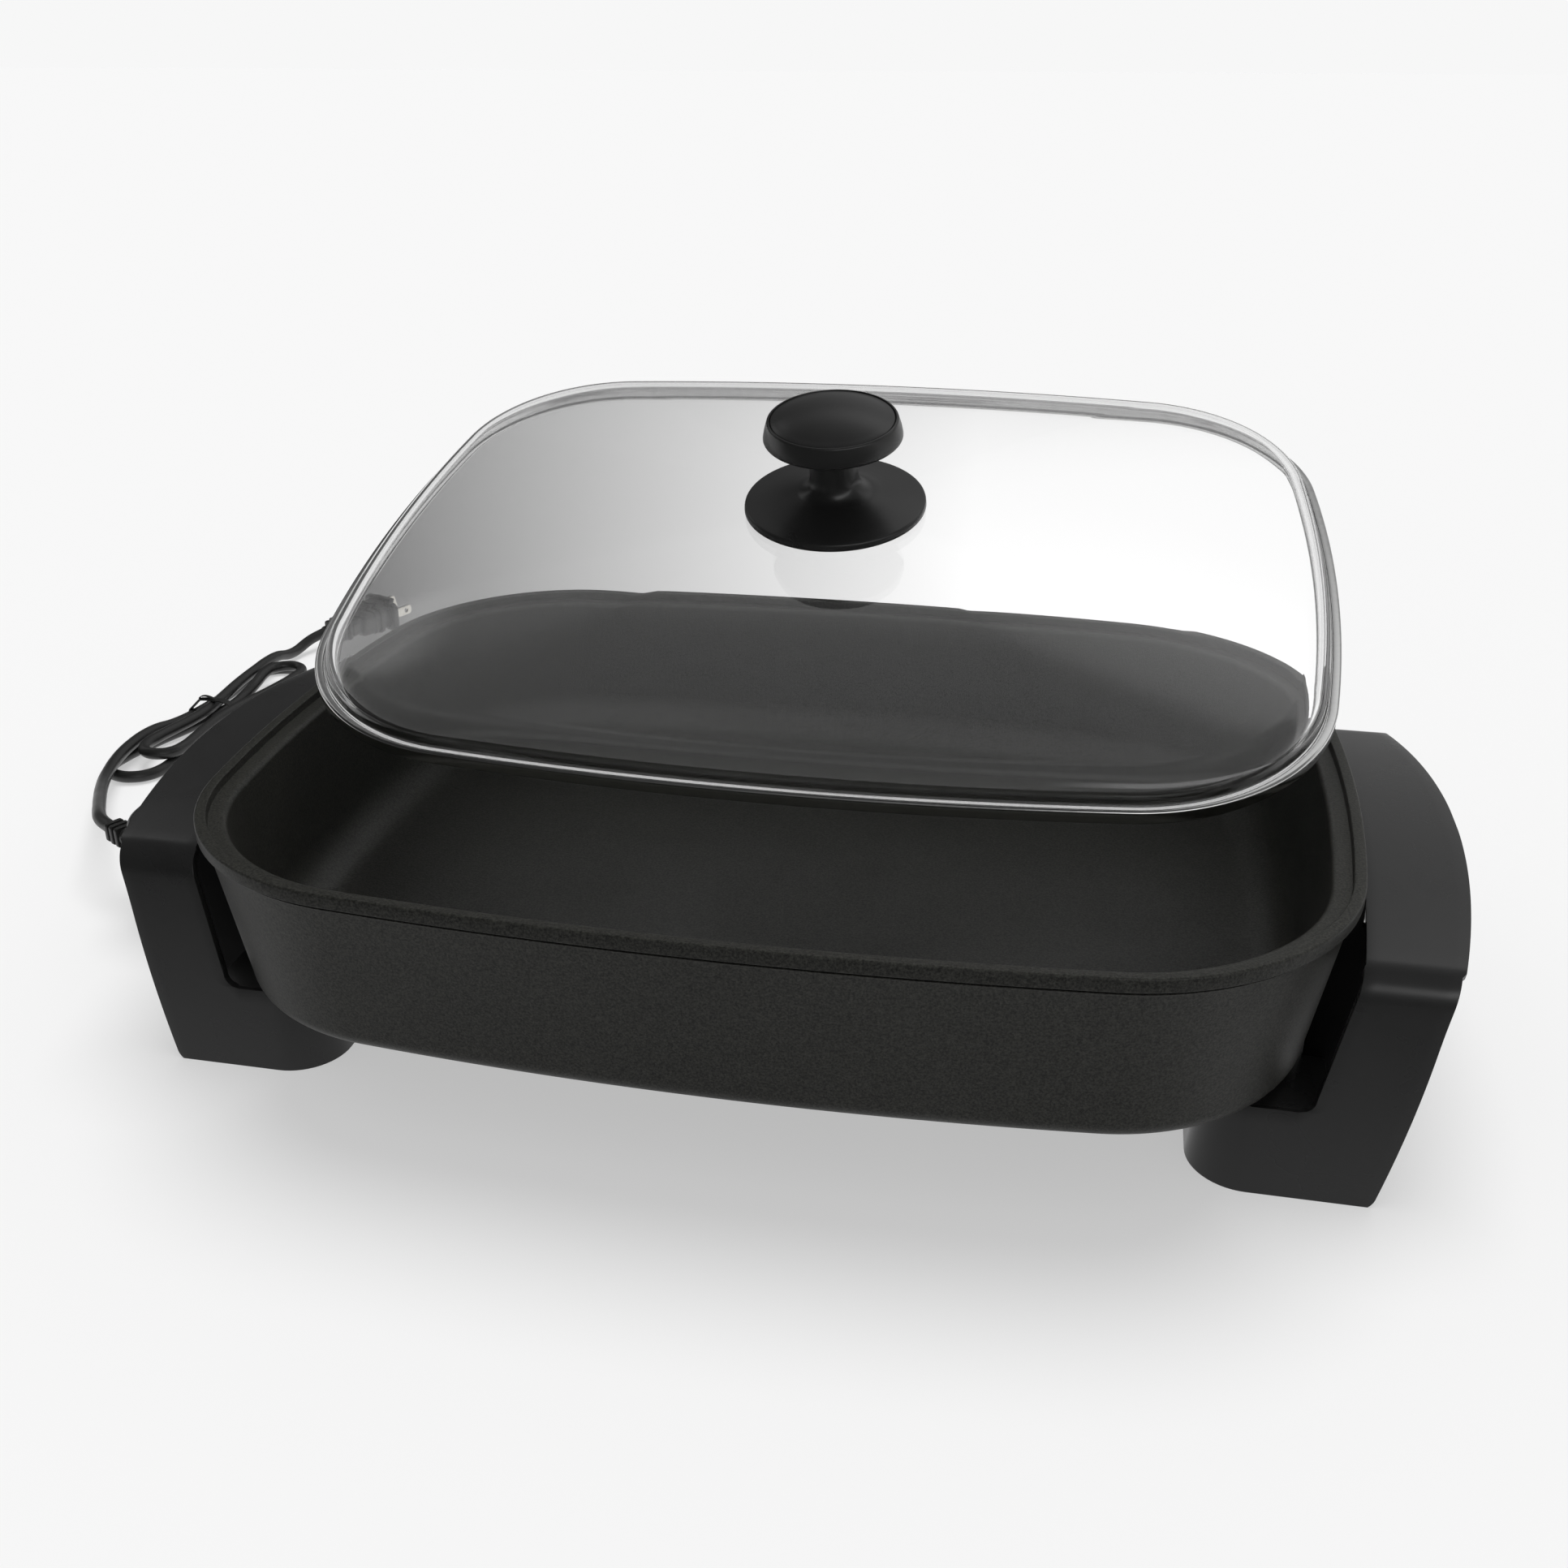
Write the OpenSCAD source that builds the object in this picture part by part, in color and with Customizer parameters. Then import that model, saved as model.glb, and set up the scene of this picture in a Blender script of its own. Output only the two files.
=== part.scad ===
// Electric skillet: a deep cast pan on two moulded stands, with a loose glass lid,
// a plug-in heat control and its folded cord. All sizes are in millimetres.

/* [Pan] */
// Length of the pan's rim, end to end
pan_length = 406; // [390:1:420]
// Width of the pan's rim, front to back
pan_width = 317; // [303:1:330]
// Height of the rim's top above the table
rim_height = 102.3; // [98:0.1:108]
// Radius of the rim's four corners
corner_radius = 84.5; // [76:0.5:90]
// Radius of the long sides' slow curve
side_radius = 1260; // [1000:10:1600]
// Radius of the short ends' slow curve
end_radius = 664; // [560:4:900]
// Height of the plain band round the rim
rim_band = 4.9; // [4.4:0.1:6]
// How far the wall leans in from the band to the floor
wall_draft = 8.8; // [6:0.1:11]
// Radius of the turn between wall and underside
base_radius = 8; // [6:0.5:10]
// Height of the pan's underside above the table
pan_clearance = 36; // [34:0.2:39]
// Thickness of the pan's floor
floor_thickness = 5; // [4.2:0.1:6]
// Inner radius between wall and cooking floor
floor_radius = 16; // [12:0.5:19]
// Depth of the step that the lid sits in
ledge_depth = 3.2; // [2.8:0.1:4]
// Width of the step that the lid sits on
ledge_width = 7.6; // [7:0.1:9]
// Width of the rim's flat top
rim_top_width = 4; // [3.4:0.1:4.4]

/* [Stands] */
// Distance from the pan's middle to a handle's outer edge
handle_reach = 239; // [234:0.5:246]
// How far a handle's outer edge bows out past its corners
handle_bow = 13.5; // [10:0.5:16]
// Height of the handle's front and back corners
handle_corner_height = 81.7; // [79:0.1:83]
// How much higher the handle is at its middle
handle_crown = 8; // [5:0.5:9]
// Distance from the middle line to a handle's corner
handle_half_width = 101.8; // [99:0.1:105]
// Distance from the middle line to a foot's outer face
foot_half_width = 109.4; // [107:0.1:112]
// Radius along the fold between handle and leg
fold_radius = 12; // [8:0.5:16]
// Wall thickness of the moulded stands
stand_wall = 3; // [2.6:0.1:3.4]
// Outward reach of a foot on the table
foot_reach = 210.8; // [206:0.2:215]
// Outward bulge of the leg's edge between foot and handle
leg_bulge = 2; // [0:0.1:3]
// Distance from the pan's middle to a stand's inner face
stand_inner = 152; // [151:0.5:154]
// Radius where a foot turns in under the pan
foot_round = 19.4; // [17:0.1:22]
// Height of the low band that joins the feet
low_band = 31.8; // [30:0.1:32.5]
// Inner edge of a leg at the low band
leg_inner_low = 189.5; // [186:0.5:192]
// Inner edge of a leg at the handle
leg_inner_high = 198; // [196.5:0.5:200]
// Distance from the middle line to a fixing screw
fixing_y = 62; // [58:0.5:68]

/* [Lid] */
// Tilt of the lifted lid, with its back edge raised
lid_tilt = 14.3; // [13:0.1:16]
// How far the lifted lid has moved back
lid_back = 75.4; // [72:0.1:86]
// Height of the lifted lid's middle
lid_rise = 144.5; // [143:0.1:152]
// How far the lifted lid has moved to the right
lid_aside = 2; // [0:0.1:2]
// Gap between the rim's edge and the lid band's edge
lid_inset = 6.6; // [6.2:0.1:7]
// Height of the steel band round the glass
lid_band_height = 5.2; // [4.8:0.1:6]
// Thickness of the steel band
band_wall = 0.6; // [0.5:0.05:0.8]
// Width of the steel band's lip over the glass
lip_width = 3; // [2.6:0.1:4]
// Width of the steel band's ledge under the glass
ledge_under_glass = 7.4; // [6.4:0.1:8.4]
// Height of the steep shoulder that starts the dome of the glass
glass_shoulder = 10.5; // [8:0.25:12]
// Width of that shoulder, seen from above
glass_shoulder_width = 10; // [8:0.5:13]
// Rise of the glass from its shoulder to its middle
glass_crown = 15; // [12:0.5:18]

/* [Knob] */
// Diameter of the knob's dished base
knob_base_diameter = 72.5; // [66:0.5:80]
// Diameter of the knob's stem
knob_stem_diameter = 19.5; // [17:0.5:22]
// Diameter of the knob's cap at its lower edge
knob_cap_diameter = 54.5; // [50:0.5:60]
// Height of the knob above the glass
knob_height = 42.5; // [40:0.5:48]
// Diameter of the knob's screw
knob_screw_diameter = 5; // [4:0.5:6]

/* [Heater] */
// Diameter of the heating tube
heater_diameter = 8; // [7.2:0.1:8.4]
// Spacing of the two terminal pins
pin_spacing = 32; // [29:0.5:34]
// Diameter of a terminal pin
pin_diameter = 4.8; // [4.2:0.1:5.2]

/* [Heat control] */
// Distance from the pan's middle to the control's outer end
control_reach = 288; // [284:0.5:292]
// Width of the control's body
control_width = 58; // [54:1:64]
// Height of the control's body
control_height = 32; // [29:0.5:33]
// Diameter of the temperature dial
dial_diameter = 42; // [38:0.5:46]
// Diameter of the heat sensing probe
probe_diameter = 6.4; // [5.6:0.1:6.8]
// Side clearance between moving pieces
slide_clearance = 0.5; // [0.4:0.05:0.7]

/* [Cord] */
// Diameter of the cord
cord_diameter = 6; // [5.4:0.1:6.4]
// Height of the cord's strain relief above the table
relief_height = 30; // [28:0.5:32]

/* [Hidden] */
$fn = 64;
tiny = 0.01;
lap = 1;
half_length = pan_length / 2;
half_width = pan_width / 2;
// The whole object, less its cord, is centred over the origin.
lid_half_width = half_width - lid_inset;
reach_left = -control_reach;
reach_back = lid_back + lid_half_width * cos(lid_tilt);
pan_x = -(handle_reach + reach_left) / 2;
pan_y = -(reach_back - half_width) / 2;

// Rim outline: a slow arc for each side, joined by corner arcs that touch both.
side_arc_y = half_width - side_radius;
end_arc_x = half_length - end_radius;
side_gap = side_radius - corner_radius;
end_gap = end_radius - corner_radius;
arcs_apart = norm([end_arc_x, -side_arc_y]);
along_arcs = (pow(side_gap, 2) - pow(end_gap, 2) + pow(arcs_apart, 2)) / (2 * arcs_apart);
off_arcs = sqrt(pow(side_gap, 2) - pow(along_arcs, 2));
arc_line = [end_arc_x, -side_arc_y] / arcs_apart;
corner_x = along_arcs * arc_line[0] + off_arcs * arc_line[1];
corner_y = side_arc_y + along_arcs * arc_line[1] - off_arcs * arc_line[0];
side_angle = atan2(corner_y - side_arc_y, corner_x);
end_angle = atan2(corner_y, corner_x - end_arc_x);
side_steps = 10;
corner_steps = 13;
end_steps = 8;

function arc(x, y, r, from, to, steps) =
    [for (i = [0 : steps - 1]) [x + r * cos(from + (to - from) * i / steps),
        y + r * sin(from + (to - from) * i / steps)]];

function outline(inset) = concat(
    arc(end_arc_x, 0, end_radius - inset, -end_angle, end_angle, end_steps),
    arc(corner_x, corner_y, corner_radius - inset, end_angle, side_angle, corner_steps),
    arc(0, side_arc_y, side_radius - inset, side_angle, 180 - side_angle, side_steps),
    arc(-corner_x, corner_y, corner_radius - inset, 180 - side_angle, 180 - end_angle, corner_steps),
    arc(-end_arc_x, 0, end_radius - inset, 180 - end_angle, 180 + end_angle, end_steps),
    arc(-corner_x, -corner_y, corner_radius - inset, 180 + end_angle, 180 + side_angle, corner_steps),
    arc(0, -side_arc_y, side_radius - inset, 180 + side_angle, 360 - side_angle, side_steps),
    arc(corner_x, -corner_y, corner_radius - inset, 360 - side_angle, 360 - end_angle, corner_steps));
around = 2 * (side_steps + end_steps) + 4 * corner_steps;

// A ring is [inset, scale, height]; a skin joins rings, with caps or closed on itself.
function ring(spec) = [for (p = outline(spec[0])) [p[0] * spec[1], p[1] * spec[1], spec[2]]];
function flat_ring(spec) = ring([spec[0], 1, spec[1]]);
function skin_points(rings) = [for (r = rings) each r];
function skin_sides(n, count) = [for (k = [0 : count - 2]) for (j = [0 : n - 1])
    [k * n + j, (k + 1) * n + j, (k + 1) * n + (j + 1) % n, k * n + (j + 1) % n]];
function capped_faces(n, count) = concat(
    [[for (j = [0 : n - 1]) j]],
    skin_sides(n, count),
    [[for (j = [0 : n - 1]) count * n - 1 - j]]);
function closed_faces(n, count) = concat(
    skin_sides(n, count),
    [for (j = [0 : n - 1]) [(count - 1) * n + j, j, (j + 1) % n, (count - 1) * n + (j + 1) % n]]);

module capped_skin(rings) {
    polyhedron(points = skin_points(rings), faces = capped_faces(len(rings[0]), len(rings)));
}

module closed_skin(rings) {
    polyhedron(points = skin_points(rings), faces = closed_faces(len(rings[0]), len(rings)));
}

// Pan profile, from the middle of the underside, up the wall and down to the floor.
wall_top_inset = 2.4;
wall_base_inset = wall_top_inset + wall_draft;
groove_inset = 3.4;
groove_height = 0.7;
rim_edge = 0.5;
band_bottom = rim_height - rim_band;
ledge_height = rim_height - ledge_depth;
ledge_inner = rim_top_width + ledge_width + 0.4;
floor_height = pan_clearance + floor_thickness;
inner_draft = 2.4;
inner_base = ledge_inner + 1 + inner_draft;
base_turn = arc(wall_base_inset + base_radius, pan_clearance + base_radius, base_radius, 270, 180, 5);
floor_turn = arc(inner_base + floor_radius, floor_height + floor_radius, floor_radius, 180, 270, 7);
pan_profile = concat(
    base_turn,
    [[wall_base_inset, pan_clearance + base_radius], [wall_top_inset, band_bottom - groove_height],
     [groove_inset, band_bottom - groove_height / 2], [groove_inset, band_bottom],
     [0.3, band_bottom], [0, band_bottom + 0.3], [0, rim_height - rim_edge],
     [rim_edge, rim_height], [rim_top_width - 0.3, rim_height], [rim_top_width, rim_height - 0.3],
     [rim_top_width + 0.4, ledge_height], [ledge_inner - 0.6, ledge_height],
     [ledge_inner + 0.2, ledge_height - 0.5], [ledge_inner + 0.6, ledge_height - 1.4]],
    floor_turn,
    [[inner_base + floor_radius, floor_height]]);
boss_radius = 8;
boss_x = stand_inner + 14;
boss_hole = 1.9;

module on_pan() {
    translate([pan_x, pan_y, 0]) children();
}

module both_sides() {
    children();
    mirror([0, 1, 0]) children();
}

module both_ends() {
    children();
    mirror([1, 0, 0]) children();
}

module pan() {
    color("#34332F") on_pan() capped_skin([for (p = pan_profile) flat_ring(p)]);
}

module pan_bosses() {
    color("#4A4945") on_pan() both_ends() both_sides() difference() {
        translate([boss_x, fixing_y, low_band]) cylinder(r = boss_radius, h = pan_clearance - low_band);
        translate([boss_x, fixing_y, low_band - 1]) cylinder(r = boss_hole, h = pan_clearance - low_band);
    }
}

// Heating tube: a rounded loop brazed into the pan's underside, its ends led out at the left.
heater_radius = heater_diameter / 2;
heater_sink = 0.6;
heater_z = pan_clearance - heater_radius + heater_sink;
heater_x = 138;
heater_y = 96;
heater_bend = 38;
lead_bend = 18;
pin_y = pin_spacing / 2;
lead_end = -186;

module tube_x(from, to, y, r) {
    translate([from, y, heater_z]) rotate([0, 90, 0]) cylinder(r = r, h = to - from);
}

module tube_y(from, to, x, r) {
    translate([x, to, heater_z]) rotate([90, 0, 0]) cylinder(r = r, h = to - from);
}

module tube_bend(x, y, bend, start, sweep) {
    translate([x, y, heater_z]) rotate([0, 0, start]) rotate_extrude(angle = sweep)
        translate([bend, 0]) circle(r = heater_radius, $fn = 32);
}

module half_heater() {
    tube_x(-heater_x + heater_bend, heater_x - heater_bend, heater_y, heater_radius);
    tube_y(-tiny, heater_y - heater_bend, heater_x, heater_radius);
    tube_bend(heater_x - heater_bend, heater_y - heater_bend, heater_bend, 0, 90);
    tube_bend(-heater_x + heater_bend, heater_y - heater_bend, heater_bend, 90, 90);
    tube_y(pin_y + lead_bend, heater_y - heater_bend, -heater_x, heater_radius);
    tube_bend(-heater_x - lead_bend, pin_y + lead_bend, lead_bend, 270, 90);
    tube_x(lead_end, -heater_x - lead_bend, pin_y, heater_radius);
}

module heating_element() {
    color("#6E6B66") on_pan() both_sides() half_heater();
}

pin_tip = -214;
pin_radius = pin_diameter / 2;
bead_length = 6;

module pin(y) {
    tube_x(pin_tip + 1.2, lead_end - bead_length, y, pin_radius);
    translate([pin_tip, y, heater_z]) rotate([0, 90, 0]) cylinder(r1 = pin_radius - 1, r2 = pin_radius, h = 1.2);
}

module terminal_pins() {
    color("#C9C7C0") on_pan() both_sides() pin(pin_y);
}

module terminal_beads() {
    color("#E4E0D6") on_pan() both_sides() translate([lead_end - bead_length, pin_y, heater_z])
        rotate([0, 90, 0]) cylinder(r = heater_radius - 0.4, h = bead_length);
}

// Probe well under the pan, between the terminals.
probe_radius = probe_diameter / 2;
probe_tip = -160;
well_end = -156;
well_start = -184;
well_half = 7;
well_drop = 8;
well_bore = probe_radius + slide_clearance;

module sensor_well() {
    color("#8F8D88") on_pan() difference() {
        translate([well_start, -well_half, heater_z - well_drop])
            cube([well_end - well_start, 2 * well_half, pan_clearance - heater_z + well_drop]);
        translate([well_start - 1, 0, heater_z]) rotate([0, 90, 0])
            cylinder(r = well_bore, h = probe_tip - well_start + 3);
    }
}

// Sheet guard round the terminals.
guard_wall = 1.2;
guard_start = -195;
guard_end = -216;
guard_half = pin_y + 13;
guard_drop = 14;
guard_corner = 6;
tab_end = -172;

module guard_outline(grow) {
    hull() {
        both_sides() translate([guard_half - guard_corner, guard_drop - guard_corner])
            circle(r = guard_corner + grow, $fn = 24);
        both_sides() translate([guard_half - guard_corner, -guard_drop + guard_corner])
            circle(r = guard_corner + grow, $fn = 24);
    }
}

module rounded_plate(half_wide, half_tall, r) {
    square([2 * (half_wide - r), 2 * half_tall], center = true);
    square([2 * half_wide, 2 * (half_tall - r)], center = true);
    for (x = [-1, 1]) for (y = [-1, 1]) {
        translate([x * (half_wide - r), y * (half_tall - r)]) circle(r = r, $fn = 32);
    }
}

module guard_ring(start, length, grow) {
    translate([start, 0, heater_z]) rotate([90, 0, 90]) linear_extrude(height = length)
        rounded_plate(guard_half + grow, guard_drop + grow, guard_corner + grow);
}

module terminal_guard() {
    color("#B9B7B0") on_pan() {
        difference() {
            guard_ring(guard_end, guard_start - guard_end, 0);
            guard_ring(guard_end - 1, guard_start - guard_end + 1 - guard_wall, -guard_wall);
            for (y = [-pin_y, pin_y]) {
                translate([guard_end, y, heater_z]) rotate([0, 90, 0])
                    cylinder(r = heater_radius + 1.2, h = guard_start - guard_end + 1);
            }
            translate([guard_end, 0, heater_z]) rotate([0, 90, 0])
                cylinder(r = well_bore + 1, h = guard_start - guard_end + 1);
        }
        both_sides() translate([guard_start - guard_wall, pin_y + heater_radius + 1.6, pan_clearance - guard_wall])
            cube([tab_end - guard_start + guard_wall, 6, guard_wall]);
    }
}

// Stand: legs and handle are one bent band; the feet turn in and join under the pan.
lean = atan((foot_half_width - handle_half_width) / handle_corner_height);
crown_radius = (pow(handle_half_width, 2) + pow(handle_crown, 2)) / (2 * handle_crown);
crown_z = handle_corner_height + handle_crown - crown_radius;
fold_start = [handle_half_width - fold_radius * cos(lean),
    handle_corner_height - fold_radius * sin(lean) - crown_z];
fold_along = fold_start[0] * sin(lean) - fold_start[1] * cos(lean);
fold_rest = pow(norm(fold_start), 2) - pow(crown_radius - fold_radius, 2);
fold_slide = -fold_along - sqrt(pow(fold_along, 2) - fold_rest);
fold_y = fold_start[0] + fold_slide * sin(lean);
fold_z = fold_start[1] + crown_z - fold_slide * cos(lean);
fold_angle = atan2(fold_z - crown_z, fold_y);

function leg_y(inset, z) = handle_half_width - inset / cos(lean) + (handle_corner_height - z) * tan(lean);

function band_outline(inset, low) = concat(
    [[leg_y(inset, low), low]],
    arc(fold_y, fold_z, fold_radius - inset, lean, fold_angle, 8),
    arc(0, crown_z, crown_radius - inset, fold_angle, 180 - fold_angle, 16),
    arc(-fold_y, fold_z, fold_radius - inset, 180 - fold_angle, 180 - lean, 8),
    [[-fold_y - (fold_radius - inset) * cos(lean), fold_z + (fold_radius - inset) * sin(lean)],
     [-leg_y(inset, low), low]]);

plan_radius = (pow(handle_half_width, 2) + pow(handle_bow, 2)) / (2 * handle_bow);
handle_corner_reach = handle_reach - handle_bow;
flange_gap = 4;
flange_inner = half_length + flange_gap - 3;
flange_sag = flange_inner - leg_inner_high - 0.5;
inner_half = handle_half_width - 5;
inner_plan_radius = (pow(inner_half, 2) + pow(flange_sag, 2)) / (2 * flange_sag);
toe_radius = 3;
throat_radius = 5;

function leg_edge(u) = foot_reach + (handle_corner_reach - foot_reach) * u + 4 * leg_bulge * u * (1 - u);

// Side view of one stand, seen from the front.
side_shape = concat(
    [[stand_inner + foot_round, 0]],
    arc(foot_reach - toe_radius, toe_radius, toe_radius, 270, 360, 6),
    [for (i = [1 : 10]) [leg_edge(i / 10), handle_corner_height * i / 10]],
    [[handle_reach + 20, handle_corner_height + 20], [leg_inner_high - 2, handle_corner_height + 20]],
    [[leg_inner_high - 2, handle_corner_height + 5], [leg_inner_high, handle_corner_height - 2]],
    arc(leg_inner_low - throat_radius, low_band + throat_radius, throat_radius, 0, -90, 6),
    [[leg_inner_low - throat_radius, low_band], [stand_inner + foot_round, low_band]]);

notch_half = 38;
notch_height = 20;
shelf = 3;
screw_head = 4.2;
screw_hole = 2.2;

module stand_band() {
    intersection() {
        translate([stand_inner - 1, 0, 0]) rotate([90, 0, 90])
            linear_extrude(height = handle_reach - stand_inner + 2)
            difference() {
                polygon(band_outline(0, 0));
                polygon(band_outline(stand_wall, -1));
            }
        translate([0, foot_half_width + 5, 0]) rotate([90, 0, 0])
            linear_extrude(height = 2 * foot_half_width + 10)
            polygon(side_shape);
        translate([handle_reach - plan_radius, 0, -1])
            cylinder(r = plan_radius, h = handle_corner_height + 30, $fn = 720);
    }
}

module handle_inner_trim() {
    intersection() {
        translate([flange_inner - inner_plan_radius, 0, 60]) cylinder(r = inner_plan_radius, h = 60, $fn = 720);
        translate([stand_inner, -inner_half, 60]) cube([100, 2 * inner_half, 60]);
    }
}

// Low band: slanted strips, one along the pan's width and a quarter turn at each foot.
low_lean = low_band * tan(lean);

module strip_shape(r) {
    polygon([[r, 0], [r - low_lean, low_band], [r - low_lean - stand_wall, low_band], [r - stand_wall, 0]]);
}

foot_centre_x = stand_inner + foot_round;
foot_centre_y = foot_half_width - foot_round;

module low_corner() {
    translate([foot_centre_x, foot_centre_y, 0]) rotate([0, 0, 90]) rotate_extrude(angle = 90, $fn = 96)
        strip_shape(foot_round);
}

module low_run() {
    translate([foot_centre_x, foot_centre_y, 0]) rotate([90, 0, 0]) linear_extrude(height = 2 * foot_centre_y)
        mirror([1, 0]) strip_shape(foot_round);
}

shelf_inset = low_lean + 1;
shelf_end = 197;
shelf_inner = 50;

module foot_shelf() {
    translate([0, 0, low_band - shelf]) linear_extrude(height = shelf) {
        translate([foot_centre_x, shelf_inner])
            square([shelf_end - foot_centre_x, foot_half_width - shelf_inset - shelf_inner - 0.5]);
        translate([stand_inner + shelf_inset + 0.5, shelf_inner])
            square([foot_round - shelf_inset, foot_centre_y - shelf_inner]);
        translate([foot_centre_x, foot_centre_y]) circle(r = foot_round - shelf_inset - 0.5);
    }
    translate([shelf_end - stand_wall, shelf_inner, 0])
        cube([stand_wall, foot_half_width - stand_wall - shelf_inner, low_band]);
}

module stand() {
    difference() {
        union() {
            stand_band();
            low_run();
            both_sides() low_corner();
            both_sides() foot_shelf();
        }
        handle_inner_trim();
        translate([stand_inner - 10, -notch_half, notch_height]) cube([40, 2 * notch_half, 40]);
        both_sides() translate([boss_x, fixing_y, -1]) cylinder(r = screw_hole, h = low_band + 5);
        both_sides() translate([boss_x, fixing_y, low_band - shelf - 1]) cylinder(r = screw_head + 0.3, h = 1.8);
    }
}

module right_stand() {
    color("#1E1E1F") on_pan() stand();
}

module left_stand() {
    color("#1E1E1F") on_pan() mirror([1, 0, 0]) stand();
}

screw_length = 5;

module fixing_screw() {
    translate([boss_x, fixing_y, low_band - shelf + 0.8]) {
        cylinder(r = boss_hole, h = screw_length, $fn = 32);
        difference() {
            translate([0, 0, -2.4]) cylinder(r = screw_head, h = 2.4, $fn = 32);
            translate([0, 0, -2.8]) cylinder(r = 1.6, h = 1.6, $fn = 6);
        }
    }
}

module right_screws() {
    color("#A9A8A4") on_pan() both_sides() fixing_screw();
}

module left_screws() {
    color("#A9A8A4") on_pan() mirror([1, 0, 0]) both_sides() fixing_screw();
}

// Lid: drawn flat, then set in its lifted pose.
band_edge = 1.2;
band_lower_lip = ledge_under_glass;
band_shape = [
    [lid_inset + band_edge, 0], [lid_inset, band_edge],
    [lid_inset, lid_band_height - band_wall], [lid_inset + band_wall, lid_band_height],
    [lid_inset + lip_width, lid_band_height], [lid_inset + lip_width, lid_band_height - band_wall],
    [lid_inset + band_edge, lid_band_height - band_wall], [lid_inset + band_edge, band_wall],
    [lid_inset + band_lower_lip, band_wall], [lid_inset + band_lower_lip, 0]];

module on_lid() {
    on_pan() translate([lid_aside, lid_back, lid_rise]) rotate([lid_tilt, 0, 0]) children();
}

module lid_band() {
    color("#C8C9CA") on_lid() closed_skin([for (p = band_shape) flat_ring(p)]);
}

glass_edge = lid_inset + band_edge;
glass_thickness = lid_band_height - 2 * band_wall;
shoulder_start = lid_inset + lip_width + 1;
inner_start = shoulder_start + glass_thickness;
dome_start = shoulder_start + glass_shoulder_width;
glass_top = band_wall + glass_thickness;
glass_middle = glass_top + glass_shoulder + glass_crown;
pad_scale = 0.2;

// The shoulder is a quarter of an ellipse outside and a narrower one inside.
function shoulder_z(t) = glass_shoulder * sin(90 * t);
function shoulder_in(t, width) = width * (1 - cos(90 * t));
function dome_z(s) = glass_shoulder + glass_crown * (1 - s * s);

glass_top_rings = concat(
    [for (t = [0.2, 0.45, 0.7]) ring([shoulder_start + shoulder_in(t, glass_shoulder_width), 1,
        glass_top + shoulder_z(t)])],
    [for (s = [1, 0.92, 0.83, 0.72, 0.58, 0.4, pad_scale]) ring([dome_start, s, glass_top + dome_z(s)])]);
glass_low_rings = concat(
    [for (s = [pad_scale, 0.4, 0.58, 0.72, 0.83, 0.92, 1]) ring([dome_start, s, band_wall + dome_z(s)])],
    [for (t = [0.7, 0.45, 0.2]) ring([inner_start + shoulder_in(t, dome_start - inner_start), 1,
        band_wall + shoulder_z(t)])]);
glass_rings = concat(
    glass_low_rings,
    [flat_ring([inner_start, band_wall]), flat_ring([glass_edge, band_wall]),
     flat_ring([glass_edge, glass_top]), flat_ring([shoulder_start, glass_top])],
    glass_top_rings);
knob_screw_radius = knob_screw_diameter / 2;

module lid_glass() {
    color("#D9DEDF") on_lid() difference() {
        capped_skin(glass_rings);
        cylinder(r = knob_screw_radius + 0.6, h = 60, $fn = 48);
    }
}

// Knob: revolved pieces stacked on the glass.
knob_base_z = glass_top + dome_z(pad_scale);
knob_base_radius = knob_base_diameter / 2;
knob_stem_radius = knob_stem_diameter / 2;
knob_cap_radius = knob_cap_diameter / 2;
cap_low = knob_height - 12.7;
cap_top = knob_height - 4.6;
insert_radius = knob_cap_radius - 2.8;
stem_top = cap_low + 2.6;

module knob_base() {
    color("#161617") on_lid() translate([0, 0, knob_base_z]) rotate_extrude($fn = 96) difference() {
        polygon(concat(
            [[knob_screw_radius, 0], [knob_base_radius - 0.6, 0], [knob_base_radius, 0.8],
             [knob_base_radius - 0.2, 2.6], [knob_base_radius - 1.2, 3]],
            [[knob_base_radius - 8, 4], [knob_base_radius - 15, 5.2], [knob_stem_radius + 8, 6.4],
             [knob_stem_radius + 4.6, 7.4], [knob_stem_radius + 2.3, 8.8], [knob_stem_radius + 0.8, 11],
             [knob_stem_radius, 14], [knob_stem_radius, stem_top], [knob_screw_radius, stem_top]]));
        translate([knob_screw_radius + 2.5, -1]) square([knob_base_radius - knob_screw_radius - 6, 1.8]);
    }
}

module knob_cap() {
    color("#161617") on_lid() translate([0, 0, knob_base_z]) rotate_extrude($fn = 96) polygon([
        [0, stem_top], [knob_stem_radius + 2, stem_top], [knob_stem_radius + 2, cap_low + 1],
        [knob_stem_radius + 4, cap_low + 0.4], [knob_cap_radius - 3, cap_low + 0.4], [knob_cap_radius - 0.8, cap_low],
        [knob_cap_radius, cap_low + 0.8], [knob_cap_radius - 0.2, cap_low + 2],
        [knob_cap_radius - 1.6, cap_top - 0.8], [knob_cap_radius - 2.1, cap_top],
        [insert_radius, cap_top], [insert_radius, cap_top - 1.6], [0, cap_top - 1.6]]);
}

insert_rise = knob_height - cap_top;
insert_sphere = (pow(insert_radius - 1, 2) + pow(insert_rise, 2)) / (2 * insert_rise);

module knob_insert() {
    color("#1A1A1B") on_lid() translate([0, 0, knob_base_z]) rotate_extrude($fn = 96) polygon(concat(
        [[0, cap_top - 1.6], [insert_radius - 0.05, cap_top - 1.6], [insert_radius - 0.05, cap_top - 0.4]],
        [for (i = [0 : 9]) let (a = asin((insert_radius - 1) / insert_sphere) * (1 - i / 10))
            [insert_sphere * sin(a), knob_height - insert_sphere * (1 - cos(a))]],
        [[0, knob_height]]));
}

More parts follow.
